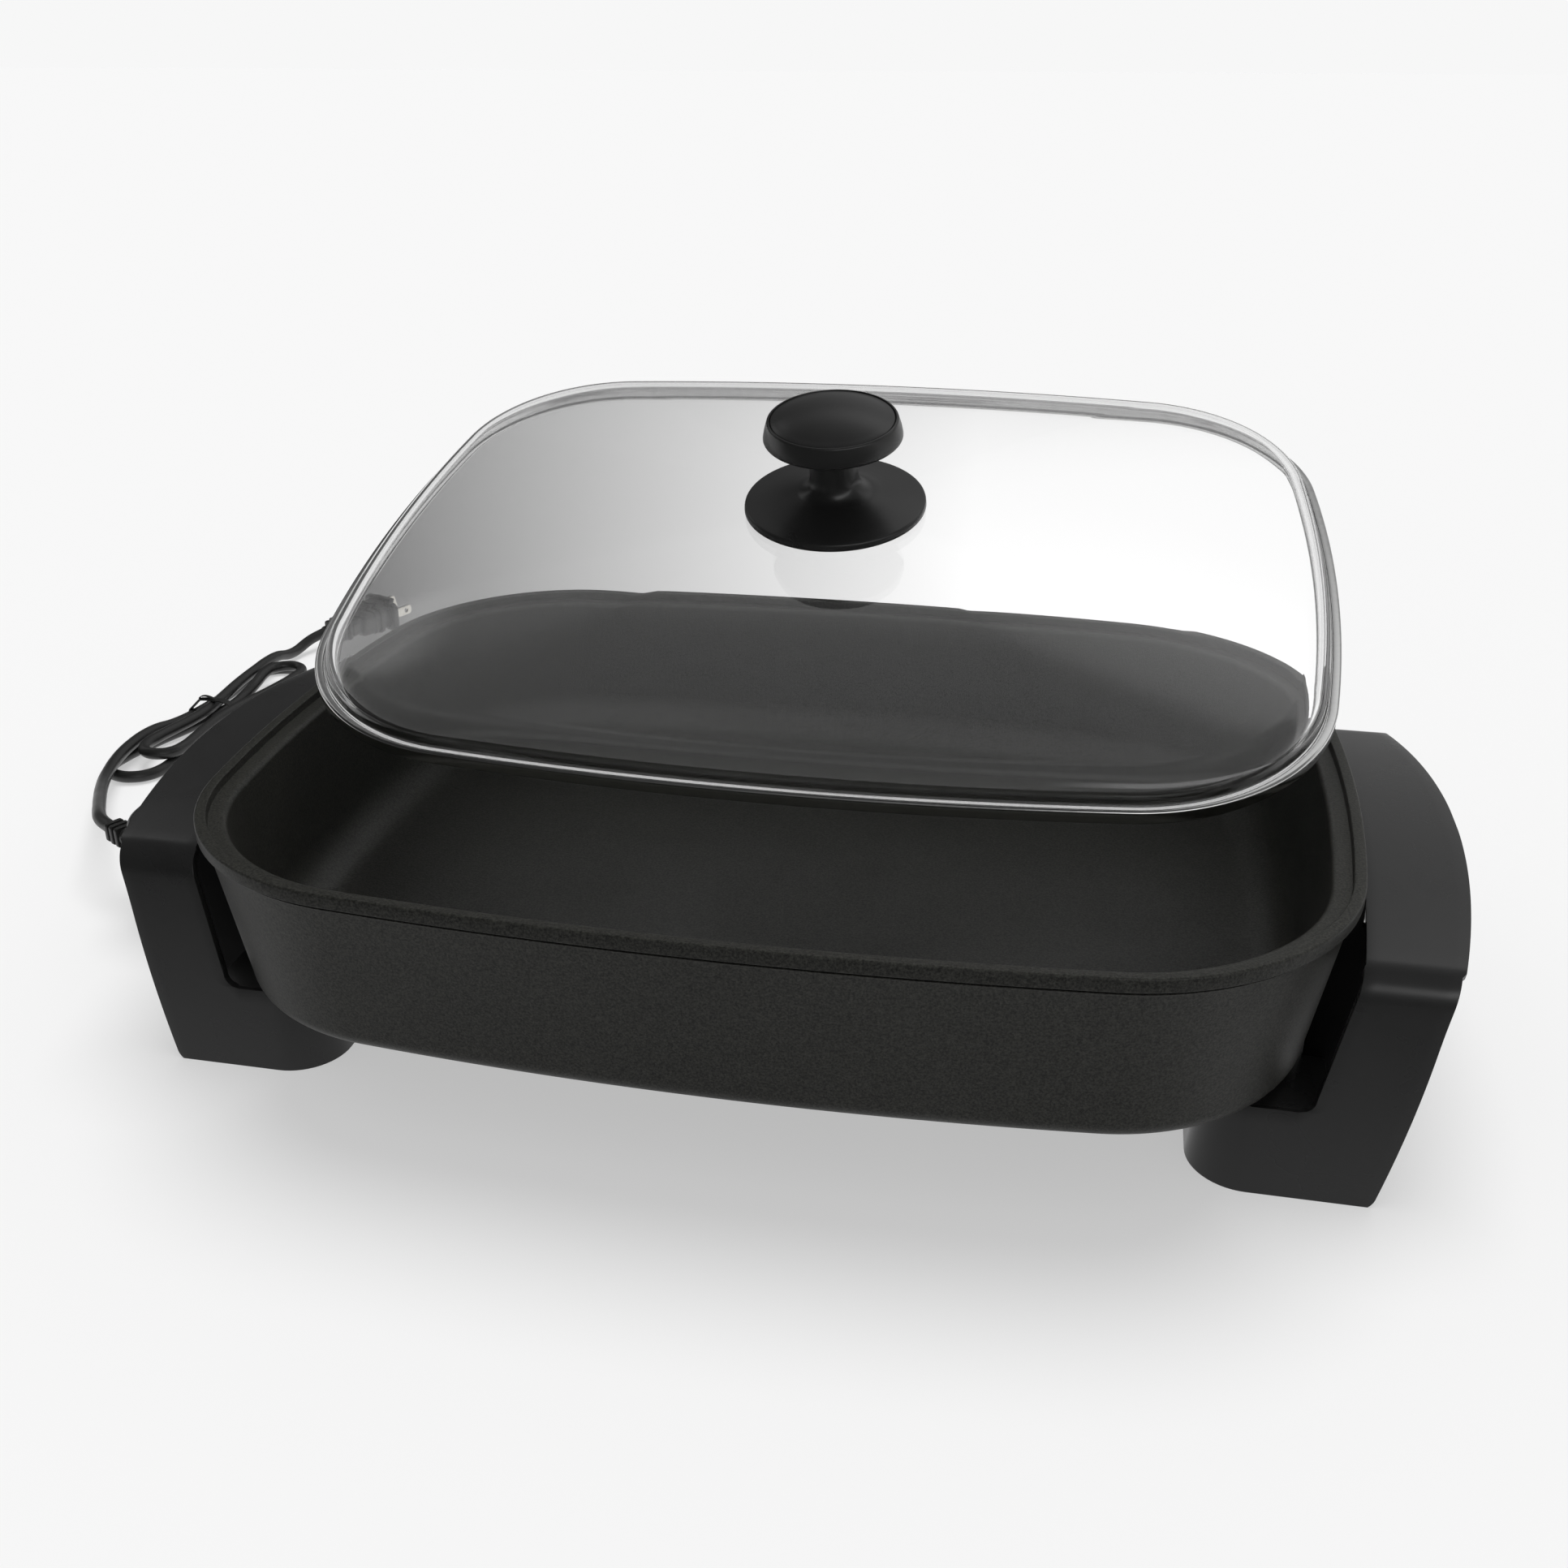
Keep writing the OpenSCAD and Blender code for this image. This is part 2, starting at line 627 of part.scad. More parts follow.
knob_low = band_wall + dome_z(pad_scale);
gasket_height = 1.2;
washer_height = 1.4;

module knob_gasket() {
    color("#8A2F26") on_lid() translate([0, 0, knob_low - gasket_height]) difference() {
        cylinder(r = 11, h = gasket_height, $fn = 48);
        translate([0, 0, -1]) cylinder(r = knob_screw_radius + 0.05, h = gasket_height + 2, $fn = 48);
    }
}

module knob_washer() {
    color("#BEBDB8") on_lid() translate([0, 0, knob_low - gasket_height - washer_height]) difference() {
        cylinder(r = 9, h = washer_height, $fn = 48);
        translate([0, 0, -1]) cylinder(r = knob_screw_radius + 0.05, h = washer_height + 2, $fn = 48);
    }
}

module knob_screw() {
    color("#C4C3BE") on_lid() translate([0, 0, knob_low - gasket_height - washer_height]) {
        cylinder(r = knob_screw_radius, h = gasket_height + washer_height + glass_thickness + stem_top - 1,
            $fn = 48);
        difference() {
            translate([0, 0, -3]) cylinder(r = knob_screw_radius + 2.4, h = 3, $fn = 48);
            translate([-5, -0.6, -3.5]) cube([10, 1.2, 1.8]);
        }
    }
}

// Heat control: the probe and sockets face the pan, the cord leaves at the outer end.
body_start = -218;
body_end = -control_reach;
nose_start = guard_start - guard_wall - 2;
control_half = control_width / 2;
control_z = heater_z - 1.4;
control_low = control_z - control_height / 2;
control_high = control_z + control_height / 2;
seam_z = heater_z - 4.5;
body_corner = 14;
nose_half = guard_half - guard_wall - slide_clearance;
nose_drop = guard_drop - guard_wall - slide_clearance;
nose_corner = guard_corner - guard_wall;
socket_radius = pin_radius + slide_clearance;
sleeve_radius = socket_radius + 0.9;
sleeve_depth = 19;
collar_length = 24;
dial_x = -250;
dial_radius = dial_diameter / 2;
dial_gap = 0.4;
dial_height = 8;
shaft_radius = 3;
shaft_fit = 0.05;

module body_plan() {
    rounded_plate((body_start - body_end) / 2, control_half, body_corner);
}

module control_block() {
    translate([(body_start + body_end) / 2, 0, control_low]) linear_extrude(height = control_height)
        body_plan();
    translate([body_start - body_corner - 1, 0, heater_z]) rotate([90, 0, 90])
        linear_extrude(height = nose_start - body_start + body_corner + 1)
        rounded_plate(nose_half, nose_drop, nose_corner);
}

module control_hollows() {
    both_sides() translate([nose_start - sleeve_depth, pin_y, heater_z]) rotate([0, 90, 0])
        cylinder(r = sleeve_radius, h = sleeve_depth + 1, $fn = 48);
    translate([nose_start - collar_length, 0, heater_z]) rotate([0, 90, 0])
        cylinder(r = probe_radius + 1.6, h = collar_length + 4, $fn = 48);
    translate([dial_x, 0, control_high - 12]) cylinder(r = shaft_radius + shaft_fit, h = 30);
    translate([lens_x, 0, control_high - 2]) cylinder(r = lens_radius, h = 5, $fn = 48);
}

lens_x = -279;
lens_radius = 3.2;
foot_x = [-234, -272];
case_screw_y = 18;

module control_base() {
    color("#1A1A1B") on_pan() difference() {
        intersection() {
            control_block();
            translate([body_end - 1, -60, 0]) cube([120, 120, seam_z]);
        }
        control_hollows();
        for (x = foot_x) for (y = [-case_screw_y, case_screw_y]) {
            translate([x, y, control_low - 1]) cylinder(r = 3.2, h = 4, $fn = 32);
            translate([x, y, control_low - 1]) cylinder(r = 1.5, h = 40, $fn = 32);
        }
    }
}

module control_cover() {
    color("#1C1C1D") on_pan() difference() {
        intersection() {
            control_block();
            translate([body_end - 1, -60, seam_z]) cube([120, 120, 60]);
        }
        control_hollows();
        for (x = foot_x) for (y = [-case_screw_y, case_screw_y]) {
            translate([x, y, control_low - 1]) cylinder(r = 1.5, h = 18, $fn = 32);
        }
    }
}

module case_screws() {
    color("#9C9B97") on_pan() for (x = foot_x) for (y = [-case_screw_y, case_screw_y]) {
        translate([x, y, control_low + 1]) cylinder(r = 3, h = 2, $fn = 32);
        translate([x, y, control_low + 2]) cylinder(r = 1.5, h = 13, $fn = 32);
    }
}

module contact_sleeves() {
    color("#B98A3E") on_pan() both_sides() translate([nose_start - sleeve_depth, pin_y, heater_z])
        rotate([0, 90, 0]) difference() {
            cylinder(r = sleeve_radius, h = sleeve_depth - 1, $fn = 48);
            translate([0, 0, 1]) cylinder(r = socket_radius, h = sleeve_depth, $fn = 48);
        }
}

module sensor_probe() {
    color("#C2C1BC") on_pan() {
        translate([nose_start - 20, 0, heater_z]) rotate([0, 90, 0])
            cylinder(r = probe_radius, h = probe_tip - probe_radius - nose_start + 20, $fn = 48);
        translate([probe_tip - probe_radius, 0, heater_z]) sphere(r = probe_radius, $fn = 48);
    }
}

module probe_collar() {
    color("#9A9893") on_pan() translate([nose_start - collar_length, 0, heater_z]) rotate([0, 90, 0]) difference() {
        cylinder(r = probe_radius + 1.6, h = collar_length, $fn = 48);
        translate([0, 0, 4]) cylinder(r = probe_radius, h = 30, $fn = 48);
    }
}

module control_dial() {
    color("#202021") on_pan() translate([dial_x, 0, control_high + dial_gap]) difference() {
        union() {
            cylinder(r = dial_radius, h = 2.4, $fn = 96);
            translate([0, 0, 2])
                cylinder(r1 = dial_radius - 5, r2 = dial_radius - 6.5, h = dial_height - 2, $fn = 96);
        }
        for (i = [0 : 15]) rotate([0, 0, i * 22.5]) translate([dial_radius - 4.6, 0, 3])
            cylinder(r = 1.6, h = dial_height, $fn = 16);
        translate([0, 0, -1]) cylinder(r = shaft_radius, h = dial_height - 1);
    }
}

module dial_shaft() {
    color("#B5B4AF") on_pan() translate([dial_x, 0, control_high - 11])
        cylinder(r = shaft_radius, h = 9 + dial_gap + dial_height);
}

module indicator_lens() {
    color("#A4322A") on_pan() translate([lens_x, 0, control_high - 2]) {
        cylinder(r = lens_radius, h = 2.2, $fn = 48);
        translate([0, 0, 2.2]) cylinder(r1 = lens_radius, r2 = lens_radius - 1.4, h = 0.8, $fn = 48);
    }
}

// Strain relief: square ribs on a core that leaves the case at a slant, in line with the cord.
relief_at = [body_end - 4.5, -2.24];
relief_turn = 27;
relief_length = 13.3;
rib_size = 9.2;
rib_pitch = 4;
rib_thickness = 2.2;
rib_corner = 1;
cord_radius = cord_diameter / 2;
relief_core = cord_radius + 0.6;
relief_elbow = relief_core + 0.8;
relief_ahead = [-cos(relief_turn), sin(relief_turn), 0];

module strain_relief() {
    color("#1B1B1C") on_pan() translate([relief_at[0], relief_at[1], relief_height]) {
        rotate([0, 90, 0]) cylinder(r = relief_core, h = body_end - relief_at[0]);
        translate([0, 0, -relief_elbow]) cylinder(r = relief_elbow, h = 2 * relief_elbow);
        rotate([0, -90, -relief_turn]) {
            cylinder(r = relief_core, h = relief_length);
            for (i = [1 : 3]) translate([0, 0, rib_pitch * i - 2.2]) linear_extrude(height = rib_thickness)
                rounded_plate(rib_size / 2, rib_size / 2, rib_corner);
        }
    }
}

// Cord: one tube down to the table and along it, a folded hank, and a tail to the plug.
relief_tip = [relief_at[0], relief_at[1], relief_height] + relief_length * relief_ahead;
lead_route = [
    relief_tip, relief_tip + 2 * relief_ahead, relief_tip + 5 * relief_ahead,
    [-315.5, 13, 29], [-324.5, 25.5, 26.2], [-338.5, 46, 21],
    [-353, 68, 15.5], [-364, 87, 11.5], [-371.5, 103, 9.6], [-374.5, 115, 9.2]];
plug_at = [-339, 356];
plug_turn = 69;
plug_z = 9.2;
plug_length = 34;
plug_relief = 15;
plug_ahead = [cos(plug_turn), sin(plug_turn), 0];
plug_tail = [plug_at[0], plug_at[1], plug_z] - (plug_length + plug_relief) * plug_ahead;
tail_route = [
    [-361, 254, 3.6], [-363, 266, 3.6], [-364, 278, 4], [-363, 289, 5.2], plug_tail - 11 * plug_ahead,
    plug_tail - 4 * plug_ahead, plug_tail];
cord_sides = 10;
resample = 3;

function along(route, t) = let (i = min(floor(t), len(route) - 2), f = t - i,
    a = route[max(i - 1, 0)], b = route[i], c = route[i + 1], d = route[min(i + 2, len(route) - 1)])
    0.5 * ((2 * b) + (c - a) * f + (2 * a - 5 * b + 4 * c - d) * f * f + (3 * b - a - 3 * c + d) * f * f * f);
function fine(route) = [for (i = [0 : (len(route) - 1) * resample]) along(route, i / resample)];
function unit(v) = v / norm(v);
function heading(path, i) = unit(path[min(i + 1, len(path) - 1)] - path[max(i - 1, 0)]);
function side_of(h) = unit(cross([0, 0, 1], h));
function cord_ring(path, i) = let (h = heading(path, i), s = side_of(h), u = cross(h, s))
    [for (k = [0 : cord_sides - 1]) let (a = k * 360 / cord_sides)
        path[i] + cord_radius * (cos(a) * s + sin(a) * u)];

module swept(path) {
    rings = [for (i = [0 : len(path) - 1]) cord_ring(path, i)];
    n = cord_sides;
    faces = concat(
        [[for (j = [0 : n - 1]) n - 1 - j]],
        [for (k = [0 : len(path) - 2]) for (j = [0 : n - 1]) each [
            [k * n + j, k * n + (j + 1) % n, (k + 1) * n + j],
            [k * n + (j + 1) % n, (k + 1) * n + (j + 1) % n, (k + 1) * n + j]]],
        [[for (j = [0 : n - 1]) (len(path) - 1) * n + j]]);
    polyhedron(points = [for (r = rings) each r], faces = [for (f = faces) [for (k = [len(f) - 1 : -1 : 0]) f[k]]]);
}

module cord() {
    color("#1C1C1C") on_pan() swept(fine(lead_route));
}

module cord_tail() {
    color("#1C1C1C") on_pan() swept(fine(tail_route));
}

hank_near = [-366.5, 119];
hank_far = [-356.5, 247];
hank_radius = 17.5;
hank_height = 12.4;
hank_turn = atan2(hank_far[1] - hank_near[1], hank_far[0] - hank_near[0]);
hank_length = norm(hank_far - hank_near);

module cord_hank() {
    color("#1C1C1C") on_pan() translate([hank_near[0], hank_near[1], 0.2]) rotate([0, 0, hank_turn])
        linear_extrude(height = hank_height) {
            circle(r = hank_radius);
            translate([0, -hank_radius]) square([hank_length, 2 * hank_radius]);
            translate([hank_length, 0]) circle(r = hank_radius);
        }
}

tie_along = 66;
tie_width = 4;
tie_wall = 0.8;

module cord_tie() {
    color("#232323") on_pan() translate([hank_near[0], hank_near[1], 0]) rotate([0, 0, hank_turn])
        translate([tie_along, 0, 0]) difference() {
            translate([0, -hank_radius - tie_wall, 0])
                cube([tie_width, 2 * (hank_radius + tie_wall), hank_height + 0.2 + tie_wall]);
            translate([-1, -hank_radius, 0.2]) cube([tie_width + 2, 2 * hank_radius, hank_height]);
        }
}

// Plug: stepped grip ribs behind a flared face, two flat blades.
face_half = 13.5;
face_tall = 9;
face_thick = 4;
blade_length = 17;
blade_gap = 12.7;

module on_plug() {
    on_pan() translate([plug_at[0], plug_at[1], plug_z]) rotate([0, 0, plug_turn]) rotate([90, 0, 90]) children();
}

module plug_body() {
    color("#1B1B1C") on_plug() difference() {
        union() {
            translate([0, 0, -face_thick]) linear_extrude(height = face_thick)
                rounded_plate(face_half, face_tall, 3);
            translate([0, 0, -plug_length + 10]) linear_extrude(height = plug_length - 10 - face_thick + tiny)
                rounded_plate(face_half - 3, face_tall - 1.6, 3);
            for (i = [0 : 2]) translate([0, 0, -face_thick - 9 - 4.4 * i]) linear_extrude(height = 2.6)
                rounded_plate(face_half - 1.8 - 0.9 * i, face_tall - 0.8, 3);
            translate([0, 0, -plug_length]) cylinder(r = cord_radius + 2, h = plug_length - 10, $fn = 48);
            for (i = [0 : 2]) translate([0, 0, -plug_length - 2 - 4.2 * i]) linear_extrude(height = 2.4)
                rounded_plate(6.4 - 0.6 * i, 6.4 - 0.6 * i, 1.6);
            translate([0, 0, -plug_length - plug_relief])
                cylinder(r = cord_radius + 1.4, h = plug_relief + 2, $fn = 48);
        }
        for (x = [-1, 1]) translate([x * blade_gap / 2 - 0.8, -3.2, -8]) cube([1.6, 6.4, 20]);
    }
}

module plug_blades() {
    color("#C7C6C1") on_plug() for (x = [-1, 1]) {
        translate([x * blade_gap / 2 - 0.75, -3.15, -8]) difference() {
            cube([1.5, 6.3, blade_length + 8]);
            translate([-1, 3.15, blade_length + 4]) rotate([0, 90, 0]) cylinder(r = 1.6, h = 4, $fn = 32);
            translate([-1, -1, blade_length + 6.6]) rotate([30, 0, 0]) cube([4, 2, 4]);
        }
    }
}

pan();
pan_bosses();
heating_element();
terminal_pins();
terminal_beads();
sensor_well();
terminal_guard();
left_stand();
right_stand();
left_screws();
right_screws();
lid_band();
lid_glass();
knob_base();
knob_cap();
knob_insert();
knob_gasket();
knob_washer();
knob_screw();
control_base();
control_cover();
case_screws();
contact_sleeves();
sensor_probe();
probe_collar();
control_dial();
dial_shaft();
indicator_lens();
strain_relief();
cord();
cord_hank();
cord_tail();
cord_tie();
plug_body();
plug_blades();
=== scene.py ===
import math

import bmesh
import bpy
from mathutils import Matrix, Vector
from mathutils.geometry import interpolate_bezier


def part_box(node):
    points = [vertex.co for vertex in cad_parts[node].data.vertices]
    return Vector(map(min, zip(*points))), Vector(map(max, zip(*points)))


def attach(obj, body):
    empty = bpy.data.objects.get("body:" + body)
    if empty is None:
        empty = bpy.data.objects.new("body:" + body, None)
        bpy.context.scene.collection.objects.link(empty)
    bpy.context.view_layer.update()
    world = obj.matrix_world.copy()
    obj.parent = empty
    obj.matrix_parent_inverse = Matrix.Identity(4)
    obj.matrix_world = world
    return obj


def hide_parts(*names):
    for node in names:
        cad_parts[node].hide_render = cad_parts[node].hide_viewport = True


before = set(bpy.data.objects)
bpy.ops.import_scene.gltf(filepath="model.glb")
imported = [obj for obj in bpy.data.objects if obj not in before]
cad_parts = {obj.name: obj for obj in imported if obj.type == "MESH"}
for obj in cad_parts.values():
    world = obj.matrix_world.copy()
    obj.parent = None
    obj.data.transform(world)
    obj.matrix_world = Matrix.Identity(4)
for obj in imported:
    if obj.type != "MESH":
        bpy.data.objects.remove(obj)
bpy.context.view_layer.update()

MM = 0.001
DEG = math.pi / 180


# ---------------------------------------------------------------- places
def millimetres(*values):
    """A point given in millimetres, in metres."""
    return Vector([value * MM for value in values])


def shift(*values):
    """A move given in millimetres."""
    return Matrix.Translation(millimetres(*values))


def turn(angle, axis="Z"):
    return Matrix.Rotation(angle, 4, axis)


def pan_centre():
    """The middle of the pan on the table top, from the pan's own box."""
    low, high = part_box("pan")
    return Vector(((low.x + high.x) / 2, (low.y + high.y) / 2, 0))


PAN = Matrix.Translation(pan_centre())
LID_AT = (2, 75.4, 144.5)
LID_TILT = 14.3 * DEG
LID = PAN @ shift(*LID_AT) @ turn(LID_TILT, "X")

# ---------------------------------------------------------------- camera
CAMERA_YAW = 11.486 * DEG
CAMERA_PITCH = 25.116 * DEG
CAMERA_AT = (106.78, -550.34, 344.26)
camera_data = bpy.data.cameras.new("studio_camera")
camera_data.lens = 36.858
camera_data.sensor_width = 36
camera = bpy.data.objects.new("studio_camera", camera_data)
bpy.context.scene.collection.objects.link(camera)
camera.location = PAN @ millimetres(*CAMERA_AT)
camera.rotation_mode = "QUATERNION"
camera_back = turn(CAMERA_YAW) @ turn(-CAMERA_PITCH, "X") @ Vector((0, -1, 0))
camera.rotation_quaternion = (-camera_back).to_track_quat("-Z", "Y")
bpy.context.scene.camera = camera


# ---------------------------------------------------------------- modelling
# Points closer than this become one, and edges shorter than this go.
WELD = 0.02 * MM
SLIVER = 0.005 * MM
WHOLE_TURN = -2 * math.pi

# The finish that each piece wears, by the piece.
worn = {}


def rename(piece, name):
    piece.name = piece.data.name = name
    return piece


def nothing_selected():
    if bpy.context.object and bpy.context.object.mode != "OBJECT":
        bpy.ops.object.mode_set(mode="OBJECT")
    bpy.ops.object.select_all(action="DESELECT")


def select_only(piece):
    nothing_selected()
    piece.select_set(True)
    bpy.context.view_layer.objects.active = piece


def open_up(piece):
    """Opens a piece for editing, all of it selected."""
    select_only(piece)
    bpy.ops.object.mode_set(mode="EDIT")
    bpy.ops.mesh.select_all(action="SELECT")


def draw_line(name, points):
    """A line of edges through points in millimetres: one vertex, extruded from point to point."""
    nothing_selected()
    bpy.ops.mesh.primitive_plane_add(size=MM, location=millimetres(*points[0]))
    piece = rename(bpy.context.object, name)
    bpy.ops.object.transform_apply(location=True)
    bpy.ops.object.mode_set(mode="EDIT")
    bpy.ops.mesh.select_mode(type="VERT")
    bpy.ops.mesh.merge(type="CENTER")
    for here, there in zip(points, points[1:]):
        step = millimetres(*there) - millimetres(*here)
        bpy.ops.mesh.extrude_vertices_move(TRANSFORM_OT_translate={"value": step})
    bpy.ops.mesh.select_all(action="SELECT")
    return piece


def extrude(x, y, z):
    bpy.ops.mesh.extrude_region_move(TRANSFORM_OT_translate={"value": millimetres(x, y, z)})


def spin(angle, steps, x=0, y=0, axis=(0, 0, 1)):
    bpy.ops.mesh.spin(steps=steps, angle=angle, center=millimetres(x, y, 0), axis=axis)


def weld():
    bpy.ops.mesh.select_all(action="SELECT")
    bpy.ops.mesh.remove_doubles(threshold=WELD)


def close_up():
    """Merges what meets in the piece in edit mode, turns its faces outwards and leaves edit mode."""
    weld()
    bpy.ops.mesh.dissolve_degenerate(threshold=SLIVER)
    bpy.ops.mesh.select_all(action="SELECT")
    bpy.ops.mesh.normals_make_consistent(inside=False)
    bpy.ops.object.mode_set(mode="OBJECT")


def turn_profile(name, profile, steps=96):
    """A round piece from half of its section, given as radius and height."""
    piece = draw_line(name, [(radius, 0, height) for radius, height in profile])
    spin(WHOLE_TURN, steps)
    close_up()
    return piece


def pick(piece, kind, test):
    """Selects the parts of one kind whose middle, in millimetres, passes a test; the piece is in edit mode."""
    bpy.ops.mesh.select_mode(type={"verts": "VERT", "edges": "EDGE", "faces": "FACE"}[kind])
    bpy.ops.mesh.select_all(action="DESELECT")
    mesh = bmesh.from_edit_mesh(piece.data)
    for part in getattr(mesh, kind):
        corners = [part] if kind == "verts" else part.verts
        middle = sum((v.co for v in corners), Vector()) / len(corners) / MM
        if test(part, middle):
            part.select_set(True)
    mesh.select_flush_mode()
    bmesh.update_edit_mesh(piece.data)


def modify(piece, kind, **settings):
    """Adds a modifier and applies it."""
    select_only(piece)
    modifier = piece.modifiers.new(kind.lower(), kind)
    for name, value in settings.items():
        setattr(modifier, name, value)
    bpy.ops.object.modifier_apply(modifier=modifier.name)


def round_edges(piece, radius, segments=2, angle=30):
    modify(piece, "BEVEL", width=radius * MM, segments=segments, limit_method="ANGLE",
           angle_limit=angle * DEG, use_clamp_overlap=True, harden_normals=False)


def cut_away(piece, height, keep_above):
    """Cuts a piece level at a height, keeps one side and closes the cut."""
    open_up(piece)
    bpy.ops.mesh.bisect(plane_co=millimetres(0, 0, height), plane_no=(0, 0, 1), use_fill=True,
                        clear_inner=keep_above, clear_outer=not keep_above)
    bpy.ops.object.mode_set(mode="OBJECT")


def join_parts(piece, *parts):
    select_only(piece)
    for part in parts:
        part.select_set(True)
    bpy.ops.object.join()
    return piece


def combine(piece, tool, operation):
    """Adds a tool shape to a piece or takes it away, and removes the tool."""
    modify(piece, "BOOLEAN", operation=operation, solver="EXACT", object=tool)
    bpy.data.objects.remove(tool, do_unlink=True)


def duplicate(piece, name):
    twin = piece.copy()
    twin.data = piece.data.copy()
    bpy.context.scene.collection.objects.link(twin)
    return rename(twin, name)


def mirrored_twin(piece, name):
    """The same piece for the left end."""
    twin = duplicate(piece, name)
    twin.data.transform(Matrix.Scale(-1, 4, (1, 0, 0)))
    twin.data.flip_normals()
    return twin


def settle(piece, place, body, slot, *nodes, smooth=40, finish=None):
    """Puts a finished piece at its place, its object at the origin; hides the CAD parts it stands for and
    notes what it wears.
    """
    select_only(piece)
    bpy.ops.object.shade_smooth_by_angle(angle=smooth * DEG)
    piece.matrix_world = place
    bpy.ops.object.transform_apply(location=True, rotation=True, scale=True)
    if nodes:
        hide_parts(*nodes)
    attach(piece, body)
    worn[piece] = finish or slot
    return piece


def arc_points(centre, radius, start, end, steps):
    """Points of an arc in a plane, in millimetres; angles in degrees."""
    turns = [start + (end - start) * i / steps for i in range(steps + 1)]
    return [(centre[0] + radius * math.cos(t * DEG), centre[1] + radius * math.sin(t * DEG)) for t in turns]


def add_block(name, low, high):
    """A box between two corners given in millimetres, left in edit mode."""
    nothing_selected()
    middle = [(a + b) / 2 for a, b in zip(low, high)]
    size = [b - a for a, b in zip(low, high)]
    bpy.ops.mesh.primitive_cube_add(size=1, location=millimetres(*middle), scale=millimetres(*size))
    block = rename(bpy.context.object, name)
    bpy.ops.object.transform_apply(location=True, rotation=True, scale=True)
    bpy.ops.object.mode_set(mode="EDIT")
    return block


def edge_runs(edge, axis):
    """Whether an edge runs along one axis."""
    step = (edge.verts[1].co - edge.verts[0].co).normalized()
    return abs(step[axis]) > 0.99


def bevel_where(piece, radius, segments, test):
    """Rounds the edges of a piece in edit mode that pass a test."""
    pick(piece, "edges", test)
    bpy.ops.mesh.bevel(offset=radius * MM, segments=segments, affect="EDGES")


def add_rounded_block(name, start, end, wide, high, corner, edge):
    """A block along X, by its half width and half height, with one rounding along it and one at its ends."""
    block = add_block(name, (start, -wide, -high), (end, wide, high))
    bevel_where(block, corner, 5, lambda part, middle: edge_runs(part, 0))
    bevel_where(block, edge, 2, lambda part, middle: min(abs(middle.x - start), abs(middle.x - end)) < 0.01)
    bpy.ops.object.mode_set(mode="OBJECT")
    return block


def add_rod(name, start, end, radius, sides=48):
    """A round bar between two points in millimetres, in object mode."""
    nothing_selected()
    a, b = millimetres(*start), millimetres(*end)
    bpy.ops.mesh.primitive_cylinder_add(
        vertices=sides, radius=radius * MM, depth=(b - a).length, location=(a + b) / 2,
        rotation=(b - a).to_track_quat("Z", "Y").to_euler())
    bpy.ops.object.transform_apply(location=True, rotation=True, scale=True)
    return rename(bpy.context.object, name)


# ---------------------------------------------------------------- mains lead
CORD_RADIUS = 3
LEAD_STEPS = 5
